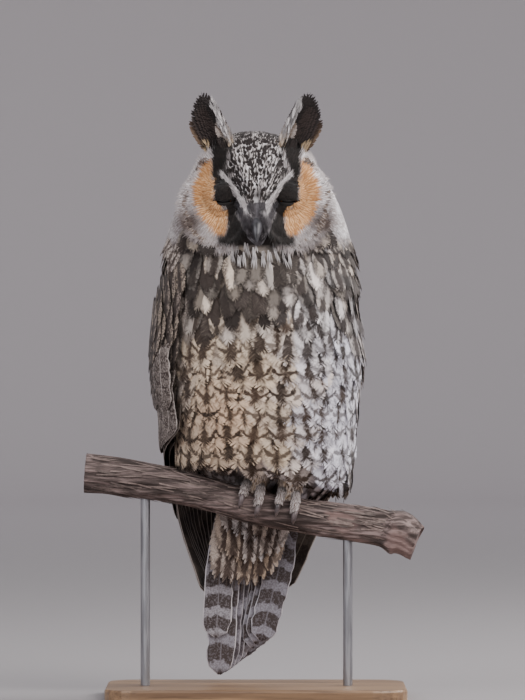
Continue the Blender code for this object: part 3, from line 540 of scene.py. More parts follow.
def face_colours(seen, angle, pale, ink, marks=None):
    """Lay the face's own colours over the head's."""
    front = smooth(0.25, 0.5, np.cos(angle))
    orange, black, brow, wedge = face_zones(seen[:, 0], seen[:, 2])
    for share, light, dark in ((orange, ORANGE, srgb(176, 122, 74)), (black, srgb(44, 36, 33), BLACK),
                               (wedge, srgb(96, 92, 96), srgb(38, 36, 38)),
                               (brow, WHITE, srgb(196, 190, 190))):
        pale = blend(pale, light, share * front)
        ink = blend(ink, dark, share * front)
    if marks is not None:
        clear = np.clip(orange + brow + wedge, 0, 1) * front
        marks[:, [0, 3]] *= 1 - 0.85 * clear[:, None]
    return pale, ink


def plumage(points, angle, height):
    """Pale colour, ink and marks of the body's feathers at places on the body."""
    x = points[:, 0]
    count = len(x)
    front = smooth(-0.25, 0.25, np.cos(angle + 0.1))
    wobble = rng.normal(0.0, 1.0, count)
    # Buff on the owl's right and in the middle, cool white on its left and low down
    cool = smooth(2.0, 48.0, x + wobble * 6.0)
    low = 1 - smooth(138.0, 158.0, height)
    pale = blend(BUFF, COOL, np.clip(cool + low * 0.7, 0, 1))
    pale = blend(pale, PEACH, 0.8 * hump(x, -22.0, 20.0) * hump(height, 185.0, 26.0))
    chest = smooth(218.0, 250.0, height + wobble * 8.0)
    smudge = hump(x, -8.0, 24.0) * hump(height, 248.0, 14.0)
    light_patch = hump(x, 32.0, 14.0) * hump(height, 240.0, 18.0)
    pale = blend(pale, srgb(204, 195, 190), chest * 0.8)
    pale = blend(pale, BUFF, chest * rng.random(count) * 0.6)
    pale = blend(pale, WHITE, np.clip(light_patch, 0, 0.8))
    pale = pale * mix(1.0, 0.16 + 0.92 * rng.random(count) ** 1.3, chest)[:, None]
    pale = pale * (1 + 0.07 * rng.normal(0, 1, (count, 1)))
    ink = blend(BROWN_INK, srgb(38, 29, 26), np.clip(chest * 0.9 + cool * 0.6, 0, 1))
    ink = ink * (0.6 + 0.7 * rng.random((count, 1)))
    ink = blend(ink, pale, 0.07 * chest * rng.random(count))
    streak = 0.17 + 0.09 * rng.random(count) - 0.05 * cool + 0.08 * chest
    # Feathers of the chest are of three kinds: streaked, broadly blotched, nearly all dark
    kind = rng.random(count) + 0.08 + 0.8 * smudge - 0.45 * light_patch
    streak = streak + chest * np.where(kind < 0.40, 0.16, np.where(kind < 0.80, 0.04, 0.9))
    # A dark feather with a pale drop is a pale one with a dark streak, its two colours changed over
    drop = ((kind > 0.40) & (kind < 0.80) & (chest > 0.5))[:, None]
    pale, ink = np.where(drop, ink, pale), np.where(drop, pale, ink)
    bar = (1.0 - 0.1 * cool) * (1 - chest * 0.8) * (0.85 + 0.25 * rng.random(count))
    bar_place = 0.80 + 0.035 * rng.normal(0, 1, count)
    fleck = 0.05 + 0.2 * rng.random(count) * smooth(200.0, 235.0, height) + 0.3 * chest
    # The owl's right flank and the back are dark brown with fine pale scribbles
    flank = (1 - smooth(-56.0, -42.0, x)) * smooth(170.0, 215.0, height)
    back = np.maximum(1 - front, flank * 0.95)
    pale = blend(blend(pale, srgb(178, 161, 148), back), srgb(206, 192, 182), flank * front)
    ink = blend(blend(ink, BACK_INK, back), srgb(72, 58, 52), flank * front)
    streak = mix(streak, 0.20 + 0.4 * rng.random(count), back) * (1 - 0.7 * flank * front)
    bar = mix(bar, 0.9, back) * (1 - 0.7 * flank * front)
    bar_place = mix(bar_place, 0.55 + 0.4 * rng.random(count), back)
    # Head: fine speckles, on a pale ground that painted light makes paler on the owl's left and painted
    # shade darker on its right, with a brown patch behind each half disc
    on_head = smooth(283.0, 292.0, height)
    nape = smooth(0.30, -0.45, np.cos(angle) + 0.12 * wobble)
    # Painted light and shade: the pale ground brightens from the owl's right to its left
    grey = blend(srgb(238, 232, 233), srgb(253, 250, 253), smooth(-36.0, 30.0, x))
    pale = blend(pale, blend(grey, srgb(150, 130, 112), nape * 0.85), on_head)
    ink = blend(ink, blend(srgb(172, 162, 160), srgb(52, 40, 35), nape), on_head)
    patch = hump(np.abs(x), 41.5, 10.5) * hump(height, 299.5, 10.0) * (np.cos(angle) > 0.1)
    pale = blend(pale, srgb(84, 70, 66), np.clip(patch * 1.1, 0, 1))
    ink = blend(ink, srgb(62, 48, 42), patch)
    streak = mix(streak, 0.04, on_head) + patch * 0.4
    fleck = mix(mix(fleck, 1.0, back), 0.35, on_head)
    marks = columns(streak, bar * (1 - on_head), bar_place, np.clip(fleck, 0, 1))
    return np.clip(pale, 0, 1), np.clip(ink, 0, 1), marks


def spike_faces(base, flip):
    """Triangles of a tapering barb: two rings of three points each, and its tip."""
    faces = [(0, 2, 1)]
    for i, j in ((0, 1), (1, 2), (2, 0)):
        faces += [(i, j, 3 + j), (i, 3 + j, 3 + i), (3 + i, 3 + j, 6)]
    return [[base + corner for corner in (face[::-1] if flip else face)] for face in faces]


def feather_template(spikes, flips, width):
    """Points, triangles and feather coordinates of a feather made of spikes."""
    points = np.array(spikes).reshape(-1, 3)
    faces = [face for k, flip in enumerate(flips) for face in spike_faces(k * 7, flip)]
    uv = columns(0.5 + points[:, 0] / width, points[:, 1])
    return points, np.array(faces), np.clip(uv, 0.001, 0.999)


def barbed_template(barbs, thick, round_tip=0.5, sweep=0.25, seed=3):
    """One soft feather of separate barbs: across from -1 to 1, along from 0 to 1."""
    local = np.random.default_rng(seed)
    wide = 0.95 / barbs * 0.85
    spikes = []
    for side in (-1, 1):
        for k in range(barbs):
            f = k / (barbs - 1)
            start = 0.02 + 0.93 * f + local.uniform(-0.4, 0.4) / barbs * (0 < k < barbs - 1)
            end = start + sweep * (1 - 0.55 * f) * local.uniform(0.88, 1.12)
            tip = min(end, 1.0)
            past = max(tip - (1 - round_tip), 0.0) / round_tip
            half = mix(0.5, 1.0, smooth(0.0, 0.5, tip)) * math.sqrt(max(1.0 - past ** 2, 0.0))
            reach = half * local.uniform(0.92, 1.03) + 0.03
            for t, w in ((0.0, 1.0), (0.78, 0.9), (1.0, 0.0)):
                a, l = side * reach * t ** 0.9, mix(start, end, t ** 1.15)
                camber = -0.35 * a * a
                if w > 0:
                    spikes += [(a, l - wide * w, camber), (a, l + wide * w, camber), (a, l, camber - thick)]
                else:
                    spikes.append((a, l, camber - thick * 0.4))
    return feather_template(spikes, [False] * barbs + [True] * barbs, 2)


def tuft_template(hairs, thick, seed=5):
    """A tuft of tapering hairs that spread a little from one root."""
    local = np.random.default_rng(seed)
    wide = 0.34
    spikes = []
    for k in range(hairs):
        spread = 2 * k / (hairs - 1) - 1 if hairs > 1 else 0.0
        long = local.uniform(0.78, 1.0) * (1 - 0.25 * abs(spread))
        for t, w in ((0.0, 0.8), (0.5, 1.0), (1.0, 0.0)):
            a, l = spread * (0.25 + 0.75 * t), long * t
            if w > 0:
                spikes += [(a - wide * w, l, 0.0), (a + wide * w, l, 0.0), (a, l, -thick)]
            else:
                spikes.append((a, l, 0.0))
    return feather_template(spikes, [False] * hairs, 3)


class Coat:
    """Many feathers gathered into one mesh."""

    def __init__(self):
        self.rows = {key: [] for key in ("points", "faces", "uv", "bake", *COLOURS)}
        self.count = 0

    def add(self, points, faces, uv, centre, patch, colours):
        """Add feathers: points as feather by point by 3, one place and colours for each."""
        feathers, size = points.shape[:2]
        shift = self.count + np.arange(feathers)[:, None, None] * size
        self.rows["points"].append(points.reshape(-1, 3))
        self.rows["faces"].append((faces + shift).reshape(-1, 3))
        self.rows["uv"].append(np.tile(uv, (feathers, 1)))
        bake = np.atleast_2d(centre)[:, None] + (uv - 0.5) * np.array(patch)
        self.rows["bake"].append(bake.reshape(-1, 2))
        for key, values in zip(COLOURS, colours):
            values = np.broadcast_to(values, (feathers, np.shape(values)[-1]))
            self.rows[key].append(np.repeat(values, size, axis=0))
        self.count += feathers * size

    def grow(self, template, root, along, out, length, half, lift, droop, bake, patch, colours, camber=1.0):
        """Set copies of a feather on roots: lift raises the tip, droop bends it back down."""
        points, faces, uv = template
        root, along, out = np.atleast_2d(root), np.atleast_2d(along), np.atleast_2d(out)
        along = unit(along - out * np.sum(along * out, axis=1, keepdims=True))
        across = np.cross(out, along)
        length, half, lift, droop = (np.broadcast_to(value, len(root))[:, None, None]
                                     for value in (length, half, lift, droop))
        a, l, z = (points[None, :, k, None] for k in range(3))
        placed = (root[:, None] + along[:, None] * (length * l) + across[:, None] * (half * a)
                  + out[:, None] * (lift * l - droop * l * l + z * camber))
        self.add(placed, faces, uv, bake, patch, colours)

    def vane(self, points, normals, thick, centre, patch, colours, split=True):
        """One closed long feather from a grid of points, along by across, with its normals."""
        steps, across = points.shape[:2]
        # Small splits in the vane's edge
        for side in (0, across - 1) if split else ():
            for i in range(2, steps - 1):
                if rng.random() < 0.35:
                    points[i, side] = mix(points[i, side], points[i, across // 2], 0.04 + 0.1 * rng.random())
        grid = np.arange(steps * across).reshape(steps, across)
        a, b, c, d = grid[:-1, :-1], grid[:-1, 1:], grid[1:, 1:], grid[1:, :-1]
        upper = np.concatenate((columns(a, b, c), columns(a, c, d)), axis=1).reshape(-1, 3)
        edge = np.concatenate((grid[0], grid[1:, -1], grid[-1, -2::-1], grid[-2:0:-1, 0]))
        after, under = np.roll(edge, -1), steps * across
        faces = np.concatenate((upper, upper[:, ::-1] + under, columns(after, edge, edge + under),
                                columns(after, edge + under, after + under)))
        v, u = np.meshgrid(np.linspace(0, 1, steps), np.linspace(0, 1, across), indexing="ij")
        uv = columns(u.ravel(), v.ravel())
        whole = np.concatenate((points.reshape(-1, 3), (points - normals * thick).reshape(-1, 3)))
        self.add(whole[None], faces, np.tile(uv, (2, 1)), centre, patch, colours)

    def build(self, name, material, slot, rounded=False):
        """The finished piece; barbs stay flat, so that they lie beside each other as one vane."""
        points, faces, uv, bake, *colours = (np.concatenate(rows) for rows in self.rows.values())
        return new_mesh(name, points, faces, material, uv, bake, colours, rounded)


def tube_faces(rings, around, flip=False):
    """Triangles of a closed tube whose last two points are the middles of its ends."""
    ring, k = np.meshgrid(np.arange(rings - 1) * around, np.arange(around), indexing="ij")
    a, b = (ring + k).ravel(), (ring + (k + 1) % around).ravel()
    k = np.arange(around)
    after, last, hub = (k + 1) % around, (rings - 1) * around, rings * around
    faces = np.concatenate((columns(a, b, b + around), columns(a, b + around, a + around),
                            columns(hub, after, k), columns(hub + 1, last + k, last + after)))
    return faces[:, ::-1] if flip else faces


def tube_mesh(name, rings, ends, material, flip=False):
    """A closed piece from rings of points and the middles of its two ends."""
    steps, around = rings.shape[:2]
    v, u = np.meshgrid(np.linspace(0, 1, steps), np.arange(around) / around, indexing="ij")
    uv = np.concatenate((columns(u.ravel(), v.ravel()), ((0.5, 0.0), (0.5, 1.0)))) * 0.98 + 0.01
    points = np.concatenate((rings.reshape(-1, 3), ends))
    return new_mesh(name, points, tube_faces(steps, around, flip), material, uv, uv)


def ring_tube(name, centres, radii, side, up, around, material, squash=1.0):
    """A closed smooth tube of round or squashed rings."""
    centres = np.array(centres)
    turn = np.linspace(0, math.tau, around, endpoint=False)[:, None]
    side, up = (np.broadcast_to(way, centres.shape)[:, None] for way in (side, up))
    ring = np.cos(turn) * side + np.sin(turn) * up * squash
    rings = centres[:, None] + np.array(radii)[:, None, None] * ring
    return tube_mesh(name, rings, centres[[0, -1]], material)


def make_skin(material):
    """One skin under all the feathers of torso, neck and head."""
    heights = np.concatenate((np.linspace(BODY_LOW + 1, HEAD_LOW, 46), np.linspace(286.5, 356.4, 46)))
    angle, height = np.meshgrid(np.linspace(0, math.tau, 96, endpoint=False), heights)
    faces = tube_faces(*angle.shape)
    rings = body_point(angle, height, -mix(COAT_DEPTH, FACE_COAT, smooth(276.0, 296.0, height)))
    points = np.concatenate((rings.reshape(-1, 3), rings[[0, -1]].mean(axis=1)))
    angle = np.concatenate((angle.ravel(), (0.0, 0.0)))
    height = np.concatenate((height.ravel(), heights[[0, -1]]))
    pale, ink, marks = plumage(points, angle, height)
    pale, ink = face_colours(points, angle, pale, ink)
    place = unwrap(angle, height)
    skin = new_mesh("skin", points, faces, material, place, place, (pale, ink, marks))
    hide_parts("torso", "neck", "head")


def body_coat(material):
    """Rows of contour feathers from the rump to the neck, in columns as the streaks run."""
    fine, coarse = barbed_template(34, 0.14), barbed_template(19, 0.18)
    coats = {name: Coat() for name in ("coat_belly", "coat_breast", "coat_back")}
    row, height = 0, 134.0
    while height < 296.0:
        chest = height > 234.0
        count = 32 if chest else 24
        for under in (True, False):
            shift = 0.5 * under + (0.5 * (row % 2) if chest else 0.0)
            angle = math.radians(-5.2) + math.tau / count * (np.arange(count) + shift)
            angle = angle + rng.normal(0, 0.06 if chest else 0.032, count)
            # The columns on the owl's right run apart as they go down
            angle = angle - 0.13 * smooth(250.0, 150.0, height) * smooth(0.1, -0.5, np.sin(angle))
            level = height + 16.0 + rng.normal(0, 2.2 if chest else 0.8, count)
            level = np.minimum(level - 4.0 * under, 300.0)
            root, out, down = local_frame(body_point, angle, level, 0.8 - COAT_DEPTH)
            seen = body_point(angle, level - 14.0)
            pale, ink, marks = plumage(seen, angle, np.minimum(level - 12.0, 283.0))
            if under and not chest:
                marks = marks * (0.1, 0.9, 1.0, 1.0) - (0.0, 0.0, 0.14, 0.0)
            length = 28.0 + rng.normal(0, 0.9, count) - 8.0 * smooth(240.0, 280.0, level)
            half = 10.0 - 4.2 * smooth(236.0, 258.0, level)
            lift = 4.9 + rng.normal(0, 0.25, count) - 0.8 * under
            along = turned(down, out, 0.20 if chest else 0.10)
            front = np.cos(angle) > 0
            # The black bib under the face stays clear of the breast's feathers
            clear = (level <= 290.0) | (np.abs(root[:, 0]) >= 29.0)
            for name, template, keep in (
                    ("coat_breast" if chest else "coat_belly", fine, front & clear),
                    ("coat_back", coarse, ~front)):
                coats[name].grow(template, *pick(keep, root, along, out, length, half, lift), 1.5,
                                 unwrap(angle, level)[keep], (0.03, 0.045),
                                 pick(keep, pale, ink, marks), 1.3)
        height += 9.0 if chest else 12.8
        row += 1
    for name, coat in coats.items():
        coat.build(name, material, "plumage")


def head_roots():
    """Angles and heights of the head's tufts, with the number of those on its top."""
    spacing = 2.1
    angles, heights = [], []
    for level in np.arange(285.0, CROWN_TOP, spacing * 0.8):
        _, _, half_width, half_depth, _ = table_rows(BODY, level)
        count = max(int(math.tau * (half_width + half_depth) / 2 / spacing), 6)
        turn = math.tau * (np.arange(count) + rng.random()) / count
        angles.append(turn + rng.normal(0, 0.75, count) / count)
        heights.append(level + rng.normal(0, 0.5, count))
    # The crown's top is nearly level, so rings of height leave it bare
    crown, cap, cap_height = 900, 150, 356.8
    angles.append(rng.random(crown) * math.tau)
    heights.append(CROWN_TOP - 7.0 * rng.random(crown))
    angles.append(rng.random(cap) * math.tau)
    heights.append(np.full(cap, cap_height))
    return np.concatenate(angles), np.minimum(np.concatenate(heights), cap_height), cap


def head_coat(material):
    """Small dense tufts of the crown, the nape and the sides of the head."""
    template = tuft_template(4, 0.2, 7)
    angle, height, cap = head_roots()
    root, out, _ = local_frame(body_point, angle, height, -FACE_COAT)
    # The last ones stand within the topmost ring
    inwards = np.sqrt(rng.random(cap))[:, None]
    root[-cap:] = mix(np.array((-2.0, -6.5, 355.6)), root[-cap:], inwards)
    out[-cap:] = unit(mix(np.array((0.0, 0.0, 1.0)), out[-cap:], inwards))
    side = np.abs(root[:, 0])
    front = np.cos(angle) > 0.25
    on_disc = (disc_reach(side, height) < 0.98) & (side > brow_line(height) - 1.0)
    on_bill = (side < 12.0) & (height < 309.0)
    angle, height, root, out = pick(~(front & (on_disc | on_bill)), angle, height, root, out)
    # Feathers lie away from the bill, and down over the nape and the neck
    along = unit(root - (FACE_MIDDLE, -50.0, 300.0))
    beside = smooth(26.0, 42.0, np.abs(root[:, 0])) * smooth(352.0, 340.0, height)
    for push, share in (((0.0, 0.48, -1.6), smooth(-20.0, 25.0, root[:, 1])),
                        ((0.0, 0.0, -1.6), smooth(306.0, 286.0, height)),
                        ((0.0, 1.4, -1.5), beside)):
        along = along + share[:, None] * push
    along = turned(unit(along), out, 0.14)
    count = len(root)
    crown = (np.abs(root[:, 0]) < brow_line(height) + 1.0) & (height > 310.0) & (np.cos(angle) > 0)
    length = np.where(crown, 4.4, 5.8) + rng.normal(0, 0.4, count)
    half = np.where(crown, 1.1, 1.5)
    seen = root + along * (length * 0.6)[:, None]
    level = seen[:, 2]
    pale, ink, marks = plumage(seen, angle, np.maximum(level, HEAD_LOW))
    on_crown = 1 - smooth(0.5, 3.5, np.abs(seen[:, 0]) - brow_line(level))
    on_crown = on_crown * smooth(*CROWN_START, level) * (np.cos(angle) > -0.2)
    on_crown = np.maximum(on_crown, 0.85 * smooth(342.0, 350.0, level))
    # Each tuft is pale or dark as a whole, most of them dark on the crown
    nape = smooth(0.30, -0.45, np.cos(angle) + rng.normal(0, 0.12, count))
    neck = smooth(298.0, 288.0, level) * smooth(-0.2, 0.2, np.cos(angle))
    share = mix(mix(mix(0.12, 0.4, nape), 0.60, on_crown), 0.5, neck)
    darker = mix(mix(mix(0.25, 0.8, nape), 1.0, on_crown), 0.85, neck)
    darker = np.where(rng.random(count) < share, darker, 0.3 * neck)
    pale = blend(blend(pale, CROWN_PALE, on_crown * 0.8), CROWN_DARK, darker)
    ink = blend(ink, CROWN_INK, on_crown)
    marks[:, 0] = mix(marks[:, 0], 0.2, on_crown)
    marks[:, 1] = 0.0
    marks[:, 3] = mix(marks[:, 3], 0.4, on_crown)
    pale, ink = face_colours(seen, angle, pale, ink, marks)
    lift = np.where(crown, 1.3, 1.0) + 0.9 * smooth(346.0, 354.0, height) + rng.normal(0, 0.15, count)
    front, middle = np.cos(angle) > 0, np.abs(root[:, 0]) <= 20.0
    for name, part in (("coat_face_sides", front & ~middle), ("coat_crown", front & middle),
                       ("coat_nape", ~front)):
        coat = Coat()
        coat.grow(template, *pick(part, root, along, out, length, half, lift), 0.7,
                  unwrap(angle, height)[part], TUFT_PATCH, pick(part, pale, ink, marks), 0.6)
        coat.build(name, material, "plumage")


def strands(template, name, material, root, along, out, angle, height, length):
    """A piece of hair-like feathers whose colours are those of the place that they cover."""
    n = len(root)
    seen = root + along * (length * 0.6)[:, None]
    x, level = seen[:, 0], seen[:, 2]
    pale, ink, _ = plumage(seen, angle, np.maximum(level, 292.0))
    marks = columns(0.1 + 0.2 * rng.random(n), 0.0, 0.0, 0.1)
    low = smooth(297.0, 287.0, level) * rng.random(n)
    pale = blend(pale, srgb(74, 60, 54), np.clip(low * 1.2, 0, 1))
    # Those that reach over the crown's edge are flecked like the crown
    crown = smooth(0.5, -1.0, np.abs(x) - brow_line(level)) * smooth(*CROWN_START, level)
    pale = blend(blend(pale, CROWN_PALE, crown * 0.8), CROWN_DARK, crown * (rng.random(n) < 0.6))
    pale, ink = face_colours(seen, angle, pale, blend(ink, CROWN_INK, crown))
    mottle = 0.5 + 0.5 * np.sin(x * 0.9 + 1.3) * np.sin(level * 0.7 + x * 0.2)
    pale = blend(pale, ink, np.clip(0.30 * mottle + 0.10 * rng.normal(0, 1, n), 0, 1))
    coat = Coat()
    coat.grow(template, root, along, out, length, 0.95, 1.6 + 0.7 * rng.random(n), 0.5,
              unwrap(angle, height), HAIR_PATCH, (pale, ink, marks))
    coat.build(name, material, "plumage")


def eye_centre(sign):
    """The middle of an eye."""
    return np.array((EYE_CENTRE[0] * sign, *EYE_CENTRE[1:]))


def eye_frame(sign):
    """Directions of an eye: where it looks, across and up."""
    look = unit((sign * math.sin(EYE_TURN), -math.cos(EYE_TURN) * math.cos(EYE_PITCH), -math.sin(EYE_PITCH)))
    across = unit(np.cross(look, (0.0, 0.0, 1.0)))
    return look, across, unit(np.cross(across, look))


def eye_rays(sign, *shares):
    """Directions from an eye's middle, from their shares ahead, across and up."""
    return sum(share[..., None] * way for share, way in zip(shares, eye_frame(sign)))


def lid_rays(sign, u, v):
    """Directions from an eye's middle at angles across it and up it."""
    return eye_rays(sign, np.cos(v) * np.cos(u), np.cos(v) * np.sin(u), np.sin(v))


def lid_line(u, opening):
    """Height of a lid's edge at an angle across the eye, above or below the slit's middle."""
    return -0.16 + opening * 0.075 * np.cos(np.clip(u / 0.75, -1, 1) * math.pi / 2)


def disc_coat(material):
    """Fine hair-like feathers that spread from each eye over the facial disc."""
    template = tuft_template(3, 0.16)
    count = 3000
    for side, sign in SIGN.items():
        turn = rng.random(count) * math.tau
        x, height = disc_place(sign, np.sqrt(rng.uniform(0.03, 1.12, count)), turn)
        angle = face_angle(x, height)
        angle, height = pick((np.abs(angle) < math.asin(0.97)) & (height > 286.5), angle, height)
        root, out, _ = local_frame(body_point, angle, height, -FACE_COAT)
        from_eye = root - eye_centre(sign) + (0.0, 8.0, 0.0)
        away = np.hypot(from_eye[:, 0], from_eye[:, 2])
        keep = (away > 8.0) & (np.abs(root[:, 0]) > brow_line(height) - 1.5)
        angle, height, root, out, from_eye = pick(keep, angle, height, root, out, from_eye)
        along = turned(unit(from_eye), out, 0.12)
        length = 7.0 + 2.5 * rng.random(len(root))
        strands(template, "coat_disc_" + side, material, root, along, out, angle, height, length)


def lid_coat(material):
    """Short strands that cover the closed lids, from the brow down and from below up."""
    template = tuft_template(3, 0.14, 17)
    count = 1100
    for side, sign in SIGN.items():
        look, across, up = eye_frame(sign)
        u = rng.uniform(-1.25, 1.25, count)
        v = rng.uniform(-1.3, 1.35, count)
        above = v - lid_line(u, 0)
        u, v, above = pick((above > 0.13) | (above < -0.22), u, v, above)
        ray = lid_rays(sign, u, v)
        root = eye_centre(sign) + ray * (LID_RADIUS - 0.1)
        # Over the upper lid they run down and outwards, under the slit they point down too
        upper = above > 0
        aim = np.where(upper[:, None], across * sign * 0.25 - up, across * sign * 0.5 - up * 0.9)
        outside = ray - (np.cos(v) * np.cos(u))[:, None] * look
        orange = face_zones(root[:, 0], root[:, 2])[0][:, None]
        along = turned(unit(mix(aim, outside * 2.0, orange)), ray, 0.15)
        length = np.where(upper, np.clip(above * LID_RADIUS - 0.8, 0.9, 4.5), 5.0)
        strands(template, "lid_coat_" + side, material, root, along, ray, np.zeros(len(root)),
                root[:, 2], length)


def eye_ring(material):
    """Tufts that spread from the lids' edges over the start of the disc."""
    template = tuft_template(3, 0.16, 27)
    coat = Coat()
    count = 620
    for sign in SIGN.values():
        turn = rng.random(count) * math.tau
        reach = rng.uniform(6.5, 10.6, count)
        flat = columns(np.cos(turn), 0.0, np.sin(turn))
        x, lid, height = (eye_centre(sign) - (0.0, 0.0, 0.6) + reach[:, None] * flat).T
        angle = face_angle(x, height, 0.97)
        lid = lid - np.sqrt(LID_RADIUS ** 2 - reach ** 2)
        root = columns(x, np.minimum(body_point(angle, height)[:, 1], lid) + 0.3, height)
        # None on the slit's corners, and none over the white stroke
        keep = (np.abs(np.sin(turn) + 0.25) > 0.16) | (reach > 8.6)
        keep = keep & (np.abs(x) > brow_line(height) + 2.0)
        root, flat, angle, height = pick(keep, root, flat, angle, height)
        n = len(root)
        out = unit(flat * 0.6 + (0.0, -1.0, 0.0))
        along = turned(unit(flat + (0.0, 0.30, -0.15)), out, 0.25)
        length = 4.0 + 2.5 * rng.random(n)
        seen = root + along * (length * 0.5)[:, None]
        pale, ink = face_colours(seen, np.zeros(n), BLACK, BLACK)
        pale = blend(pale, ink, 0.5 * rng.random(n) ** 2)
        coat.grow(template, root, along, out, length, 0.7, 1.3, 0.9, unwrap(angle, height), HAIR_PATCH,
                  (pale, ink, (0.2, 0.0, 0.0, 0.0)))
    coat.build("coat_eye_rings", material, "plumage")


def brow_coat(material):
    """The two white strokes from above the eyes down towards the bill."""
    template = tuft_template(3, 0.16, 19)
    coat = Coat()
    count = 170
    for sign in SIGN.values():
        height = rng.uniform(306.0, 329.0, count)
        narrow = smooth(304.0, 314.0, height) * (1 - 0.5 * smooth(324.0, 330.0, height))
        x = sign * (brow_line(height) + rng.normal(0.0, 0.85, count) * narrow)
        angle = face_angle(x, height)
        # Where the lid stands in front of the face, the stroke runs over the lid
        cx, cy, cz = eye_centre(sign)
        inside = LID_RADIUS ** 2 - (x - cx) ** 2 - (height - cz) ** 2
        lid = np.where(inside > 0, cy - np.sqrt(np.maximum(inside, 0.0)), 0.0)
        root = columns(x, np.minimum(body_point(angle, height)[:, 1], lid) + 0.2, height)
        out = np.tile(unit((sign * 0.15, -1.0, 0.25)), (count, 1))
        along = turned(unit((sign * 0.58, 0.1, 0.81)), out, 0.10)
        tone = 0.2 + 0.8 * rng.random((count, 1)) ** 1.5
        coat.grow(template, root, along, out, 4.0 + 2.5 * rng.random(count), 0.5, 1.2, 0.5,
                  unwrap(angle, height), HAIR_PATCH, (WHITE * tone, GREY, NO_MARKS))
    coat.build("coat_brows", material, "plumage")


def rim_coat(material):
    """The ruff of short stiff feathers round each half of the disc."""
    template = tuft_template(4, 0.2, 9)
    coat = Coat()
    count = 420
    for sign in SIGN.values():
        turn = rng.uniform(math.radians(-104), math.radians(75), count)
        x, height = disc_place(sign, 1.02 + rng.normal(0, 0.04, count), turn)
        x, height = pick(height > 287.0, x, height)
        angle = face_angle(x, height, 0.985)
        root, out, _ = local_frame(body_point, angle, height, -1.0)
        away = unit(root - (sign * DISC_CENTRE[0], -36.0, DISC_CENTRE[1]))
        along = turned(unit(away + (0.0, 0.9, -0.7)), out, 0.14)
        light = rng.random(len(root))
        pale = blend(srgb(62, 50, 46), srgb(196, 184, 178), light ** 1.6)
        ink = blend(BACK_INK, srgb(110, 92, 80), light)
        coat.grow(template, root, along, out, 4.6 + rng.random(len(root)), 1.2, 1.5, 0.6,
                  unwrap(angle, height), TUFT_PATCH, (pale, ink, (0.25, 0.0, 0.0, 0.5)), 0.5)
    coat.build("coat_rim", material, "plumage")


def bristles(material):
    """Bristles that close in on the bill from both sides, and the tufts of the chin."""
    template = tuft_template(2, 0.14, 8)
    coat = Coat()
    count = 1500
    height = 313.0 - 23.0 * rng.random(count) ** 0.9
    half = np.interp(height, (288.0, 313.0), (5.0, 12.5))
    aside = half * rng.uniform(-1, 1, count)
    angle = face_angle(FACE_MIDDLE + aside, height, 0.9)
    root, out, _ = local_frame(body_point, angle, height, -0.9)
    root[:, 1] -= 1 - smooth(4.0, 9.0, np.abs(aside))
    keep = (np.abs(aside) > 2.4) | (height > 304.0)
    root, out, aside, half, height, angle = pick(keep, root, out, aside, half, height, angle)
    n = len(root)
    share = np.abs(aside) / half
    along = turned(unit(columns(FACE_MIDDLE + aside * 0.12, -54.0, 286.0) - root), out, 0.1)
    # The outermost low bristles are pale; those along the middle are paler as a painted highlight on the
    # bill's ridge
    edge = smooth(0.86, 0.95, share) * (height < 301.0)
    ridge = 1 - smooth(0.05, 0.2, share)
    light = edge * 0.6 + ridge * 0.35 + 0.12 * (rng.random(n) > 0.8)
    pale = blend(srgb(62, 57, 60), srgb(150, 145, 149), np.clip(light, 0, 1))
    brow = face_zones(root[:, 0], height)[2]
    pale = blend(pale, WHITE, brow * smooth(306.0, 311.0, height))
    coat.grow(template, root, along, out, 7.0 + 4.0 * rng.random(n), 0.7, 1.6 + 0.8 * rng.random(n), 0.9,
              unwrap(angle, height), HAIR_PATCH, (pale, srgb(40, 37, 38), (0.1, 0.0, 0.0, 0.0)))
    # Chin: white tufts under the bill, below the black bib
    count = 56
    angle = 0.02 + np.round(rng.uniform(-4.5, 4.5, count)) * 0.075 + rng.normal(0.0, 0.014, count)
    height = 286.5 - 11.0 * rng.random(count) + 10.0 * np.abs(angle)
    root, out, down = local_frame(body_point, angle, height, -1.5)
    pale = WHITE * (0.16 + 0.54 * rng.random((count, 1)))
    coat.grow(template, root, turned(down, out, 0.08), out, 7.0 + 7.0 * rng.random(count), 0.8, 3.4, 1.0,
              unwrap(angle, height), HAIR_PATCH, (pale, GREY, NO_MARKS))
    coat.build("bristles", material, "plumage")


def outline(along, tip):
    """Half width of a long feather along its length, as a share of the widest, rounded past tip."""
    body = mix(0.6, 1.0, smooth(0.0, 0.45, along))
    return body * np.sqrt(np.clip(1 - np.clip((along - tip) / (1.001 - tip), 0, 1) ** 2, 0.004, 1))


def wing_edges(side, height):
    """Leading and trailing edge of a wing at heights, as angles."""
    lead, trail = WING_SPAN[side]
    lead = lead + WING_SWEEP[side] * smooth(0.0, 1.0, (SWEEP_FROM - height) / (SWEEP_FROM - SWEEP_TO))
    return np.radians(lead), np.radians(trail)


def wing_arc(angle, height):
    """Distance round the body that one radian takes at places on the wing."""
    _, _, half_width, half_depth = table_rows(WING_LIE, height)
    return np.hypot(half_width * np.cos(angle), half_depth * np.sin(angle))


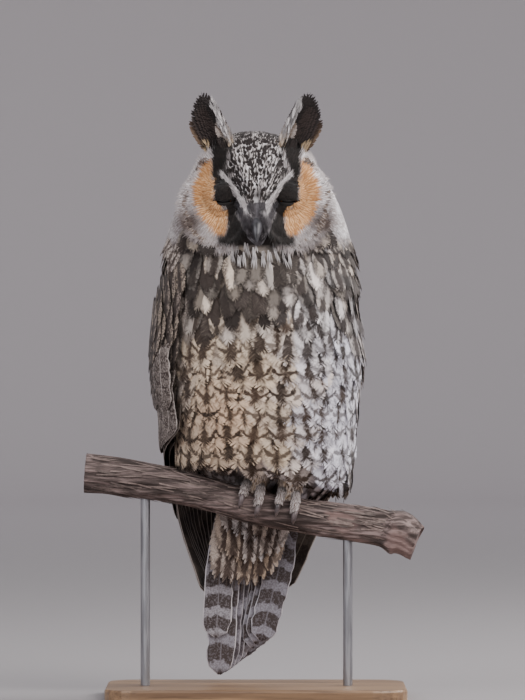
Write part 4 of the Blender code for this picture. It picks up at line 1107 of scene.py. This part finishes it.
def wing_feather(coat, side, kind, share, pitch_share, root, tip, offset, sink, overlap, place):
    """One feather of a wing's tier; all but primaries are as wide as their pitch, times an overlap."""
    along, u = np.linspace(0, 1, 20), np.linspace(-1, 1, 7)
    height = mix(root, tip, along)
    lead, trail = wing_edges(side, height)
    angle = mix(lead, trail, share)
    arc = wing_arc(angle, height)
    pitch = np.abs(trail - lead) * pitch_share * arc
    half = overlap * pitch * outline(along, 0.82)
    if kind == "primary":
        # The long feathers close up towards the wing's tip
        first, last = np.radians(WING_TIPS[side])
        bend = along ** 2
        angle = mix(mix(lead, trail, share * 0.86), mix(first, last, share), bend)
        pitch = mix(np.abs(trail - lead) * 0.86, abs(last - first), bend) * pitch_share * arc
        half = PRIMARY_HALF * outline(along, 0.9)
    lift = offset - sink * (1 - smooth(0.0, 0.3, along))
    tilt = half / np.maximum(pitch, 1.0)
    reach = lift[:, None] + tilt[:, None] * (0.5 - 0.5 * u * SIGN[side]) + 0.25 * (1 - u ** 2)
    around = angle[:, None] + u * (half / arc)[:, None]
    points = wing_point(around, height[:, None], reach)
    normals = unit(points - wing_point(around, height[:, None], reach - 1.0))
    pale, ink, rim, bars, phase, scribbles = WING_KINDS[kind]
    marks = (rim, bars, rng.random() if phase is None else share * phase, scribbles)
    shade = 1 + 0.08 * rng.normal()
    coat.vane(points, normals, 0.32, place, (0.026, 0.11), (pale * shade, ink * shade, marks))


def make_wings(flight, plumes):
    """Both folded wings: primaries, secondaries, two tiers of coverts and the shoulder."""
    # Tiers: kind, feathers, root and tip heights, offset, sink of the root, overlap
    tiers = (("secondary", 11, 186.0, 116.0, 4.6, 4.0, 1.05),
             ("covert", 11, 208.0, 158.0, 7.0, 4.5, 1.1),
             ("covert", 10, 230.0, 186.0, 9.2, 5.0, 1.1))
    primaries = 10
    for side in SIGN:
        coat = Coat()
        for k in range(primaries):
            share = (k + 0.5) / primaries
            tip = 63.0 + 30.0 * (share - 0.3) ** 2 * (1.6 if share > 0.3 else 1.5)
            wing_feather(coat, side, "primary", share, 1 / primaries, 162.0, tip, 1.4, 0.0, 1.0,
                         (0.03 + 0.09 * k, 0.1))
        for row, (kind, count, root, tip, offset, sink, overlap) in enumerate(tiers):
            pitch_share = 1 / (count + 0.9)
            for k in range(count):
                share = (0.95 + k) * pitch_share
                end = tip - 4.0 * math.sin(math.pi * share) + rng.normal(0, 1.2)
                wing_feather(coat, side, kind, share, pitch_share, root, end, offset, sink, overlap,
                             (0.03 + 0.085 * k, 0.32 + 0.2 * row))
        wing = coat.build("wing_" + side + "_feathers", flight, "flight_feathers", True)
        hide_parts("wing_" + side)
        make_shoulder(side, plumes)


def make_shoulder(side, plumes):
    """Scapulars and lesser coverts: rows of soft feathers over the folded arm."""
    coat = Coat()
    template = barbed_template(12, 0.25, 0.5, 0.25, 11)
    count = 12
    for row, level in enumerate(np.arange(216.0, 282.0, 7.4)):
        share = (np.arange(count) + 0.5 + 0.5 * (row % 2)) / (count + 0.5)
        angle = mix(*wing_edges(side, level), share) + rng.normal(0, 0.02, count)
        height = level + rng.normal(0, 1.0, count)
        thick = np.interp(height, (200.0, 212.0, 232.0, 252.0, 266.0, 282.0),
                          (10.0, 11.0, 12.4, 11.6, 7.0, 0.5))
        edge = smooth(-0.05, 0.2, share) * smooth(-0.05, 0.15, 1 - share)
        root, out, down = local_frame(wing_point, angle, height, (thick - 3.4) * edge - 0.5)
        pale = blend(srgb(138, 124, 115), BUFF, rng.random(count) * 0.35)
        marks = columns(0.15 + 0.4 * rng.random(count), 0.9, 0.55 + 0.4 * rng.random(count), 1.0)
        coat.grow(template, root, turned(down, out, 0.08), out, 22.0, 6.6, 3.6, 1.2,
                  unwrap(angle, height), (0.016, 0.026), (pale, BACK_INK, marks), 1.2)
    coat.build("coat_shoulder_" + side, plumes, "flight_feathers")


def tail_place(x, height, layer):
    """A point in the hanging tail, which leans back as it goes down."""
    return np.array((x, TAIL_FRONT + (TAIL_ROOT_HEIGHT - height) * TAIL_LEAN + layer, height))


def tail_feather(coat, root, tip, colours, place):
    """A long feather that hangs nearly flat between two points."""
    along, u = np.linspace(0, 1, 22)[:, None], np.linspace(-1, 1, 9)
    axis = unit(tip - root)
    side = unit(np.cross(axis, (0.0, -1.0, 0.0)))
    face = unit(np.cross(side, axis))
    half = TAIL_FEATHER_HALF * outline(along, 0.86)
    points = mix(root, tip, along)[:, None] + side * (half * u)[..., None] + face * (0.4 * u ** 2)[:, None]
    coat.vane(points, face, 0.35, place, (0.05, 0.3), colours)


def make_tail(flight, plumes):
    """Twelve tail feathers and the soft coverts before and behind them."""
    coat = Coat()
    last = TAIL_FEATHERS - 1
    for k in range(TAIL_FEATHERS):
        # The outermost feather on the owl's right stands apart and shorter than its neighbours
        t = (k - 1) / (last - 1)
        tip_x, tip_z = (mix(*TAIL_TIP_SPREAD, t), 22.0 * t ** 1.2) if k > 0 else (-25.5, 24.0)
        layer = 0.9 * (2 * k if k < TAIL_FEATHERS / 2 else 2 * (last - k) + 1)
        root = tail_place(mix(*TAIL_ROOT_SPREAD, k / last), TAIL_ROOT_HEIGHT + 8, layer)
        tip = tail_place(tip_x, TAIL_LOWEST + tip_z, layer)
        pale = blend(srgb(160, 158, 170), WHITE, 0.05 if k > 0 else 0.25)
        ink = srgb(70, 63, 68) if 1 < k < 8 else srgb(60, 51, 50)
        rim = 1.0 if k in (0, 1, last) else 0.55
        tail_feather(coat, root, tip, (pale, ink, (rim, 1.0, 0.12 * k, 0.3)), (0.06 + 0.08 * k, 0.25))
    tail = coat.build("tail_feathers", flight, "tail_feathers", True)
    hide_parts("tail")
    soft = Coat()
    template = barbed_template(15, 0.25, 0.5, 0.25, 13)
    # Tiers of coverts: feathers, spread of roots and of tips, their heights, layer, way they face
    tiers = ((7, (-21.0, 16.0), (-24.0, 6.0), 116.0, 68.0, -2.5, -1),
             (7, (-19.0, 18.0), (-20.0, 10.0), 124.0, 84.0, -4.5, -1),
             (6, (-18.0, 20.0), (-16.0, 14.0), 134.0, 98.0, -6.0, -1),
             (7, (-17.0, 17.0), (-20.0, 10.0), 120.0, 74.0, 12.5, 1),
             (7, (-18.0, 18.0), (-19.0, 12.0), 132.0, 92.0, 14.0, 1))
    for row, (count, roots, tips, root_z, tip_z, layer, face) in enumerate(tiers):
        for k in range(count):
            t = k / (count - 1)
            start = tail_place(mix(*roots, t), root_z, layer + face * 0.7 * (k % 2))
            low = tip_z + 6.0 * (2 * t - 0.9) ** 2 + rng.normal(0, 1.6)
            way = tail_place(mix(*tips, t), low, layer + face * 1.2) - start
            pale = blend(srgb(172, 150, 130), srgb(206, 198, 196), rng.random())
            marks = (0.24, 0.65, 0.80 + 0.04 * rng.normal(), 0.3)
            soft.grow(template, start, way, (0.0, face, 0.0), np.linalg.norm(way), 7.5, 1.0, 1.0,
                      (0.1 + 0.12 * k, 0.1 + 0.18 * row), (0.05, 0.12), (pale, srgb(58, 45, 39), marks), 6.0)
    soft.build("tail_coverts", plumes, "plumage")


def tuft_fan(coat, base, sign):
    """The long dark feathers of an ear tuft, the innermost pale and the outermost brown."""
    template = barbed_template(26, 0.2, 0.35, 0.14, 23)
    out = unit((-sign * 0.25, -1.0, 0.15))
    for k, rise in enumerate(TUFT_RISES):
        t = k / (len(TUFT_RISES) - 1)
        start = base + (sign * mix(-5.0, 5.5, t), mix(-3.6, 2.6, t), mix(-1.0, -5.0, t))
        tip = np.array((base[0] + sign * mix(3.0, 20.5, t ** 0.9), start[1] - 2.0, base[2] + rise - 2.5))
        inner, outer = 0.55 * (1 - smooth(0.0, 0.10, t)), 0.3 * smooth(0.9, 1.0, t)
        pale = mix(mix(srgb(52, 41, 38), srgb(186, 174, 168), inner), srgb(156, 128, 100), outer)
        ink = mix(mix(srgb(28, 21, 20), srgb(150, 134, 122), inner), srgb(72, 52, 36), outer)
        marks = (mix(0.65, 0.2, max(inner, outer)), 0.0, 0.05 * k, 0.3)
        coat.grow(template, start, tip - start, out, np.linalg.norm(tip - start), 5.0, -2.0, -2.0,
                  (0.08 + 0.09 * k, 0.5), (0.05, 0.3), (pale, ink, marks), -0.8)


def tuft_edges(coat, base, sign):
    """Pale hairs along an ear tuft's inner edge, and buff ones low on its outer edge."""
    template = tuft_template(3, 0.16, 25)
    n = 190
    t = rng.random(n)
    inner = rng.random(n) < 0.85
    t = np.where(inner, t, t * 0.2)
    edge_in = columns(sign * mix(-6.0, 7.0, t), -4.6, mix(-2.0, 29.0, t))
    edge_out = columns(sign * mix(9.0, 20.0, t), 0.0, mix(-4.0, 28.0, t))
    root = base + np.where(inner[:, None], edge_in, edge_out) + rng.normal(0, 1.0, (n, 3))
    aim = unit(columns(sign * np.where(inner, 0.32, 0.52), -0.05, 1.0))
    out = np.tile(unit((-sign * 0.3, -1.0, 0.1)), (n, 1))
    pale = blend(srgb(222, 190, 154), WHITE, smooth(0.0, 0.4, t))
    pale = np.where(inner[:, None], pale, srgb(226, 196, 158)) * (0.16 + 0.6 * rng.random((n, 1)))
    coat.grow(template, root, turned(aim, out, 0.16), out, 6.0 + 3.0 * rng.random(n), 0.5, 0.8, 0.4,
              columns(0.1 + 0.8 * t, np.where(inner, 0.3, 0.7)), HAIR_PATCH, (pale, pale * 0.6, NO_MARKS))


def tuft_foot(coat, base, sign):
    """Short feathers round an ear tuft's root, which join it to the crown."""
    template = barbed_template(6, 0.2, 0.5, 0.3, 15)
    n = 110
    angle = np.linspace(0, math.tau, n, endpoint=False)
    wide, deep = (np.array((7.5, 5.0)) * (0.5 + 0.5 * rng.random((n, 1)))).T
    x = wide * np.cos(angle)
    root = base + columns(x, deep * np.sin(angle), -1.0 - np.abs(x) * 0.25)
    out = unit(columns(np.cos(angle), np.sin(angle), 0.15))
    inner = smooth(0.5, 0.9, -sign * np.cos(angle)) * smooth(0.4, -0.2, -np.sin(angle))
    pale = blend(CROWN_DARK, srgb(180, 160, 140), inner * 0.8)
    along = turned(unit((sign * 0.42, -0.05, 1.0)), out, 0.12)
    coat.grow(template, root, along, out, 9.0 + 3 * rng.random(n), 2.2, 0.8, 0.6,
              columns(angle / math.tau, 0.2), TUFT_PATCH,
              (pale, srgb(24, 18, 17), (0.2, 0.0, 0.0, 0.0)), 0.5)


def make_tufts(plumes):
    """Ear tufts: a cupped fan of long dark feathers each, pale along its inner edge."""
    for side, sign in SIGN.items():
        base = np.array(TUFT_BASE) * (sign, 1, 1)
        coat = Coat()
        tuft_fan(coat, base, sign)
        tuft_edges(coat, base, sign)
        tuft = coat.build("ear_tuft_%s_feathers" % side, plumes, "tuft_feathers")
        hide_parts("ear_tuft_" + side)
        foot = Coat()
        tuft_foot(foot, base, sign)
        foot.build("ear_tuft_%s_foot" % side, plumes, "tuft_feathers")


def eye_material():
    """A wet dark eye: pupil, orange iris and dark rim, by the angle from where it looks."""
    n = Nodes("eye", 0.06, Coat_Weight=0.6, Coat_Roughness=0.03)
    u = n.feather_place()[0]
    iris = n.mix(n.noise(900.0, 3.0), srgb(224, 126, 22), srgb(140, 62, 8))
    ring = n.mix(n.step(u, 0.34, 0.38), srgb(5, 4, 4), iris)
    return n.finish(n.mix(n.step(u, 0.60, 0.66), ring, srgb(14, 10, 9)))


def make_eyes():
    """Eyes with an orange iris behind lids that are almost shut."""
    eye_paint = eye_material()
    lid_paint = plain_material("lid", srgb(30, 25, 24), srgb(14, 11, 10), 900.0, 0.85, 0.5)
    rings, around = 26, 40
    polar, turn = np.meshgrid(np.linspace(0, math.pi, rings + 2)[1:-1],
                              np.linspace(0, math.tau, around, endpoint=False), indexing="ij")
    reach = np.concatenate((polar.ravel(), (0.0, math.pi))) / math.pi * 2.2
    uv = columns(np.clip(reach, 0.001, 0.999), 0.5)
    for side, sign in SIGN.items():
        centre, look = eye_centre(sign), eye_frame(sign)[0]
        rays = eye_rays(sign, np.cos(polar), np.sin(polar) * np.cos(turn), np.sin(polar) * np.sin(turn))
        rays = np.concatenate((rays.reshape(-1, 3), (look, -look)))
        eye = new_mesh("eye_%s_ball" % side, centre + EYE_RADIUS * rays, tube_faces(rings, around, True),
                       eye_paint, uv, 0.5 + 0.45 * rays[:, [0, 2]])
        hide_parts("eye_" + side)
        for name, far, opening in (("upper", 1.35, 1), ("lower", -1.35, -1)):
            u, v = np.meshgrid(np.linspace(-1.2, 1.2, 25), np.linspace(0, 1, 12))
            rays = lid_rays(sign, u, mix(lid_line(u, opening), far, v))
            lid = Coat()
            lid.vane(centre + LID_RADIUS * rays, rays, LID_RADIUS - EYE_RADIUS - LID_GAP, (0.5, 0.5),
                     0.9, (BLACK, BLACK, (0.0, 0.0, 0.0, 1.0)), False)
            lid.build("lid_%s_%s" % (side, name), lid_paint, "plumage", True)


def make_bill():
    """The hooked bill: upper half over the lower one, with its nostrils as near-black bumps of painted
    shade.
    """
    horn = plain_material("horn", srgb(62, 60, 64), srgb(26, 25, 28), 240.0, 0.34, 0.15)
    t = np.linspace(0, 1, 26)
    across = (1.0, 0.0, 0.0)
    root, tip = np.array((FACE_MIDDLE, -41.0, 305.0)), np.array((FACE_MIDDLE, -56.5, 288.5))
    out = unit(np.cross(tip - root, across))
    centres = mix(root, tip, t[:, None]) + out * (3.0 * np.sin(math.pi * t ** 1.15))[:, None]
    centres[:, 2] -= 1.2 * t ** 6
    width = 5.3 * (1 - t ** 1.9) ** 0.8 + 0.12
    upper = ring_tube("bill_upper_horn", centres, width, across, out, 24, horn, 0.86)
    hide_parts("bill_upper")
    root, tip = np.array((FACE_MIDDLE, -40.0, 293.5)), np.array((FACE_MIDDLE, -50.6, 288.6))
    width = 2.9 * (1 - t ** 2) ** 0.6 + 0.1
    centres = mix(root, tip, t[:, None])
    lower = ring_tube("bill_lower_horn", centres, width, across, out, 18, horn, 0.6)
    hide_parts("bill_lower")
    # The nostrils are small near-black bumps: painted shade standing in for the openings
    dark = plain_material("nostril", srgb(14, 12, 12), srgb(6, 5, 5), 500.0, 0.8, 0.3)
    for side, sign in reversed(SIGN.items()):
        centres = columns(FACE_MIDDLE + sign * 3.9, (-46.1, -46.6, -46.85), 301.6)
        ring_tube("nostril_" + side, centres, (0.8, 1.0, 0.35), across, (0.0, 0.0, 1.0), 14, dark,
                  0.7)


def branch_frame(x):
    """Axis points, direction along, up and front of the branch at places along x."""
    x = np.asarray(x, float)
    behind, centre, ahead = (columns(place, *table_rows(BRANCH_AXIS, place)) for place in (x - 1, x, x + 1))
    along = unit(ahead - behind)
    front = np.array((0.0, -1.0, 0.0))
    up = unit(np.cross(along, front))
    up = np.where(up[..., 2:] < 0, -up, up)
    front = unit(front - along * np.sum(along * front, axis=-1, keepdims=True))
    return centre, along, up, front


def branch_swell(x):
    """How much thicker the branch is towards its ends."""
    return BRANCH_SWELL * smooth(40.0, 100.0, np.abs(x))


def grip_point(x, shift, angle, reach):
    """Points over the branch at angles from its top, towards the front, with the way out there."""
    centre, along, up, front = branch_frame(x)
    out = np.cos(angle)[:, None] * up + np.sin(angle)[:, None] * front
    return centre + along * np.atleast_1d(shift)[:, None] + out * (BRANCH_RADIUS + reach)[:, None], out


def toe_radius(t):
    """Radius of a toe along its length, without its swellings."""
    return TOE_RADIUS * mix(1.0, 0.72, t)


def make_toe(side, number, shift, end, coat, template, skin, claw):
    """One toe bent over the branch with its talon; its small feathers join the leg's coat."""
    name = "%s_%d" % (side, number)
    x = LEG_X[side]
    _, axis, up, _ = branch_frame(x)
    sign = math.copysign(1, end)
    splay = math.copysign(TOE_SPLAY, shift)
    t = np.linspace(0, 1, 16)
    radius = toe_radius(t) * (1 + 0.10 * np.cos(t * math.tau * 2.5))
    points, out = grip_point(x, shift + splay * t, np.radians(mix(6.0 * sign, end, t)), GRIP_GAP + radius)
    toe = ring_tube("toe_" + name, points, radius, axis, out, 18, skin)
    if number == 1:
        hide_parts("foot_" + side)
    t = np.linspace(0, 1, 18)
    radius = TALON_RADIUS * (1 - t ** 1.6) ** 0.75 + 0.08
    reach = mix(GRIP_GAP + TOE_RADIUS * 0.74, GRIP_GAP + 0.4, t ** 1.5) + 1.1 * np.sin(math.pi * t)
    points, out = grip_point(x, shift + splay, np.radians(end + sign * (1.0 + TALON_ARC * t)),
                             np.maximum(reach, GRIP_GAP + radius))
    talon = ring_tube("talon_%s_horn" % name, points, radius, axis, out, 14, claw)
    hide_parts("talon_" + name)
    count = 70
    t = rng.random(count) * 0.9
    round_toe = rng.uniform(-1.3, 1.3, count)
    radius = toe_radius(t)
    points, out = grip_point(x, shift + splay * t, np.radians(mix(4.0 * sign, end, t)), GRIP_GAP + radius)
    normal = unit(np.cos(round_toe)[:, None] * out + np.sin(round_toe)[:, None] * axis)
    # The feathers point down the toe, away from the branch's top
    ahead = np.cross(axis, out)
    ahead = ahead * np.sign(ahead @ -up)[:, None]
    pale = srgb(184, 174, 172) * (0.8 + 0.25 * rng.random((count, 1)))
    coat.grow(template, points + normal * (radius * 0.86)[:, None], turned(ahead, normal, 0.2), normal,
              4.6, 1.3, 0.9, 0.5, columns(0.1 + 0.2 * number + 0.15 * t, 0.2 + 0.4 * t), HAIR_PATCH,
              (pale, BROWN_INK * 2, (0.12, 0.0, 0.0, 0.0)), 0.4)


def make_feet(plumes):
    """Feathered toes that grip the branch, talons and the feathered legs above them."""
    toe_material = plain_material("toe", srgb(172, 162, 160), srgb(110, 98, 96), 700.0, 0.8, 0.6)
    claw = plain_material("claw", srgb(104, 92, 92), srgb(52, 45, 46), 160.0, 0.36, 0.15)
    template = barbed_template(5, 0.18, 0.5, 0.3, 21)
    ankle = BRANCH_RADIUS + ANKLE_TOP
    count = 420
    for side, x in LEG_X.items():
        coat = Coat()
        for number, shift, end in TOES:
            make_toe(side, number, shift, end, coat, template, toe_material, claw)
        centre, along, up, front = branch_frame(x)
        levels = ankle + np.array((-5.0, 3.0, 9.0, 20.0))
        leg = ring_tube("leg_%s_skin" % side, centre + up * levels[:, None], (5.0, 5.6, 7.4, 9.0),
                        along, front, 24, toe_material)
        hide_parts("leg_" + side)
        turn = rng.random(count) * math.tau
        level = rng.random(count)
        normal = np.cos(turn)[:, None] * along + np.sin(turn)[:, None] * front
        root = (centre + up * (ankle + mix(-3.0, 19.0, level))[:, None]
                + normal * mix(5.2, 9.0, level)[:, None])
        pale = blend(srgb(196, 172, 146), WHITE, rng.random(count) * 0.6)
        coat.grow(template, root, turned(-up, normal, 0.2), normal, 9.0, 1.9, 1.6, 0.8,
                  columns(turn / math.tau, 0.6 + 0.35 * level), HAIR_PATCH,
                  (pale, BROWN_INK * 2, (0.1, 0.0, 0.0, 0.0)), 0.4)
        coat.build("coat_leg_" + side, plumes, "plumage")


def bark_material():
    """Fibrous grey-brown bark with a redder bare stretch."""
    n = Nodes("bark", 0.88)
    _, v, _ = n.feather_place()
    lines = n.noise(62.0, 6.0, 0.65, n.stretched((0.35, 3.0, 3.0)))
    fine = n.noise(260.0, 4.0, 0.6, n.stretched((0.18, 2.6, 2.6)))
    tone = n.mix(n.step(lines, 0.38, 0.62), srgb(50, 39, 36), srgb(128, 110, 106))
    tone = n.mix(n.step(fine, 0.46, 0.60, 0.0, 0.75), tone, srgb(48, 37, 33))
    red = n.step(n.noise(38.0, 3.0), 0.50, 0.62) * n.step(v, 0.62, 0.74)
    n.bump(lines + fine * 0.6, 0.9, 0.0012)
    return n.finish(n.mix(red * 0.5, tone, srgb(150, 122, 116)))


def bark_fibre_material():
    """Strips of bark, each of its own tone."""
    n = Nodes("bark_fibre", 0.85)
    pale, ink = n.feather_colours()[:2]
    n.bump(n.noise(600.0, 3.0), 0.4)
    return n.finish(n.mix(n.step(n.noise(300.0, 3.0), 0.4, 0.6, 0.0, 0.6), pale, ink))


def make_branch():
    """The cut branch with ridges of bark and its knob."""
    x = np.linspace(BRANCH_AXIS[0][0], BRANCH_AXIS[-1][0], 300)
    centre, _, up, front = branch_frame(x)
    turn, x = np.meshgrid(np.linspace(0, math.tau, 72, endpoint=False), x)
    rough = smooth(4.0, 24.0, np.abs(x - GRIP_X) - 14.0)
    radius = BRANCH_RADIUS + rough * 0.55 * np.sin(2 * turn + 0.045 * x)
    radius += rough * 0.35 * np.sin(3 * turn - 0.09 * x)
    radius += branch_swell(x) + KNOB_SWELL * hump(x, KNOB_X, KNOB_HALF)
    ridges = 0.5 * np.abs(np.sin(9 * turn + 0.05 * x + np.sin(x / 11.0)))
    for _ in range(16):
        wave = rng.uniform(5, 26)
        waves_round = int(rng.integers(4, 22))
        ridges += np.sin(waves_round * turn + x / wave + rng.random() * 6) * 0.16
    radius += (0.25 + 0.75 * rough) * (ridges - 0.45)
    ring = np.cos(turn)[..., None] * up[:, None] + np.sin(turn)[..., None] * front[:, None]
    branch = tube_mesh("branch_bark", centre[:, None] + radius[..., None] * ring, centre[[0, -1]],
                       bark_material(), True)
    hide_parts("perch_branch")


def make_fibres():
    """Loose fibres that lift off the bark."""
    template = tuft_template(1, 0.3, 30)
    coat = Coat()
    count = 420
    x = rng.uniform(-106.0, 99.0, count)
    angle = rng.random(count) * math.tau
    x, angle = pick(np.abs(x - GRIP_X) > 18.0, x, angle)
    centre, along, up, front = branch_frame(x)
    out = np.cos(angle)[:, None] * up + np.sin(angle)[:, None] * front
    root = centre + out * (BRANCH_RADIUS + 0.4 + branch_swell(x))[:, None]
    count = len(x)
    tone = srgb(120, 104, 98) * (0.5 + 0.8 * rng.random((count, 1)))
    # A fibre near a cut end points inwards
    way = np.where(rng.random(count) > 0.5, 1.0, -1.0)
    way = np.where(x > 70.0, -1.0, np.where(x < -80.0, 1.0, way))[:, None]
    coat.grow(template, root, turned(along * way, out, 0.10), out, 10.0 + 16.0 * rng.random(count), 1.5,
              1.1 * rng.random(count), 0.0, columns(angle / math.tau, (x + 108) / 210), HAIR_PATCH,
              (np.clip(tone, 0, 1), tone * 0.5, NO_MARKS))
    coat.build("branch_fibres", bark_fibre_material(), "bark")


def make_stand():
    """The stand keeps the solids' shapes, with a wood grain and a satin metal."""
    n = Nodes("stand_board", 0.42, Coat_Weight=0.15, Coat_Roughness=0.3)
    grain = n.noise(26.0, 6.0, 0.6, n.stretched((0.22, 3.2, 3.2)))
    pores = n.noise(420.0, 3.0, 0.5, n.stretched((0.08, 2.0, 2.0)))
    tone = n.mix(n.step(grain, 0.36, 0.64), srgb(104, 78, 56), srgb(150, 118, 86))
    n.bump(pores, 0.25, 0.0003)
    board = n.finish(n.mix(n.step(pores, 0.54, 0.64, 0.0, 0.55), tone, srgb(74, 52, 36)))
    n = Nodes("stand_steel", 0.32, Metallic=1.0)
    brushed = n.noise(700.0, 2.0, 0.5, n.stretched((1.0, 1.0, 0.06)))
    n.bump(brushed, 0.15, 0.0002)
    metal = n.finish(n.mix(n.step(brushed, 0.4, 0.6), srgb(176, 176, 180), srgb(150, 150, 154)))
    for node, finish in (("stand_base", board), ("stand_rod_left", metal), ("stand_rod_right", metal)):
        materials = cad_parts[node].data.materials
        materials.clear()
        materials.append(finish)


# The round floor: how far it is flat, the bend's radius and the wall's height, in metres
FLOOR_FLAT, FLOOR_BEND, WALL_TOP = 5.2, 1.2, 4.0
# Lamps: place, size, power and colour
LAMPS = {
    "key": ((1.3, -1.6, 1.4), 1.6, 64.0, (1.0, 0.98, 0.96)),
    "fill": ((-2.6, -3.0, 1.8), 2.4, 95.0, (0.96, 0.97, 1.0)),
    "rim": ((1.7, 0.5, 1.3), 1.0, 42.0, (1.0, 1.0, 1.0)),
}
LAMP_AIM = (0.0, 0.0, 0.2)
# The photo's frame is 443.8 mm high at the owl, seen level and from far away
FRAME_HEIGHT = 0.4438
CAMERA_DISTANCE = 4.0
CAMERA_AIM = (0.0041, 0.0, 0.2203)


def place_object(name, data, place=(0.0, 0.0, 0.0)):
    """A new object of the stage at a place."""
    made = bpy.data.objects.new(name, data)
    made.location = place
    bpy.context.scene.collection.objects.link(made)
    return made


def make_floor():
    """Round pale floor that sweeps up into a wall."""
    turns = 64
    bend = [math.pi / 2 * k / 12 for k in range(13)]
    profile = [(0.02, 0.0), *((FLOOR_FLAT + FLOOR_BEND * math.sin(turn), FLOOR_BEND * (1 - math.cos(turn)))
                              for turn in bend), (FLOOR_FLAT + FLOOR_BEND, WALL_TOP)]
    points = [(reach * math.cos(math.tau * k / turns), reach * math.sin(math.tau * k / turns),
               height - 0.0002) for reach, height in profile for k in range(turns)]
    faces = [(i + k, i + (k + 1) % turns, i + turns + (k + 1) % turns, i + turns + k)
             for i in range(0, len(points) - turns, turns) for k in range(turns)]
    mesh = bpy.data.meshes.new("floor")
    mesh.from_pydata(points, [], [*faces, tuple(range(turns))])
    mesh.polygons.foreach_set("use_smooth", [True] * len(mesh.polygons))
    n = Nodes("floor", 0.9)
    far_share = n.step(n.field("VectorMath", {0: n.place()}, "Value", operation="LENGTH"), 1.2, 5.5)
    mesh.materials.append(n.finish(n.mix(far_share, (0.28, 0.258, 0.262), (0.50, 0.46, 0.47))))
    place_object("floor", mesh)


def make_lights():
    """A pale sky and three soft lamps."""
    world = bpy.data.worlds.new("studio")
    world.use_nodes = True
    world.node_tree.nodes["Background"].inputs[0].default_value = (0.80, 0.82, 0.86, 1.0)
    world.node_tree.nodes["Background"].inputs[1].default_value = 0.9
    bpy.context.scene.world = world
    for name, (place, size, power, tint) in LAMPS.items():
        light = bpy.data.lights.new(name, "AREA")
        light.energy = power
        light.size = size
        light.color = tint
        lamp = place_object(name, light, place)
        lamp.rotation_euler = (Vector(LAMP_AIM) - lamp.location).to_track_quat("-Z", "Y").to_euler()


def make_camera():
    """A level camera with a long lens in front of the owl."""
    camera = bpy.data.cameras.new("camera")
    camera.sensor_width = 36.0
    camera.lens = camera.sensor_width * CAMERA_DISTANCE / FRAME_HEIGHT
    camera.clip_end = 50.0
    place = (CAMERA_AIM[0], CAMERA_AIM[1] - CAMERA_DISTANCE, CAMERA_AIM[2])
    holder = place_object("camera", camera, place)
    holder.rotation_euler = (math.pi / 2, 0.0, 0.0)
    bpy.context.scene.camera = holder


def main():
    """Dress the model."""
    make_camera()
    plumes = plumage_material()
    make_skin(skin_material())
    for coat in (body_coat, head_coat, disc_coat, lid_coat, eye_ring, brow_coat, rim_coat, bristles):
        coat(plumes)
    make_wings(flight_material("wing_feather", 5.0, 0.55), plumes)
    make_tail(flight_material("tail_feather", 5.5, 0.6), plumes)
    make_tufts(plumes)
    make_eyes()
    make_bill()
    make_feet(plumes)
    make_branch()
    make_fibres()
    make_stand()
    make_floor()
    make_lights()


main()
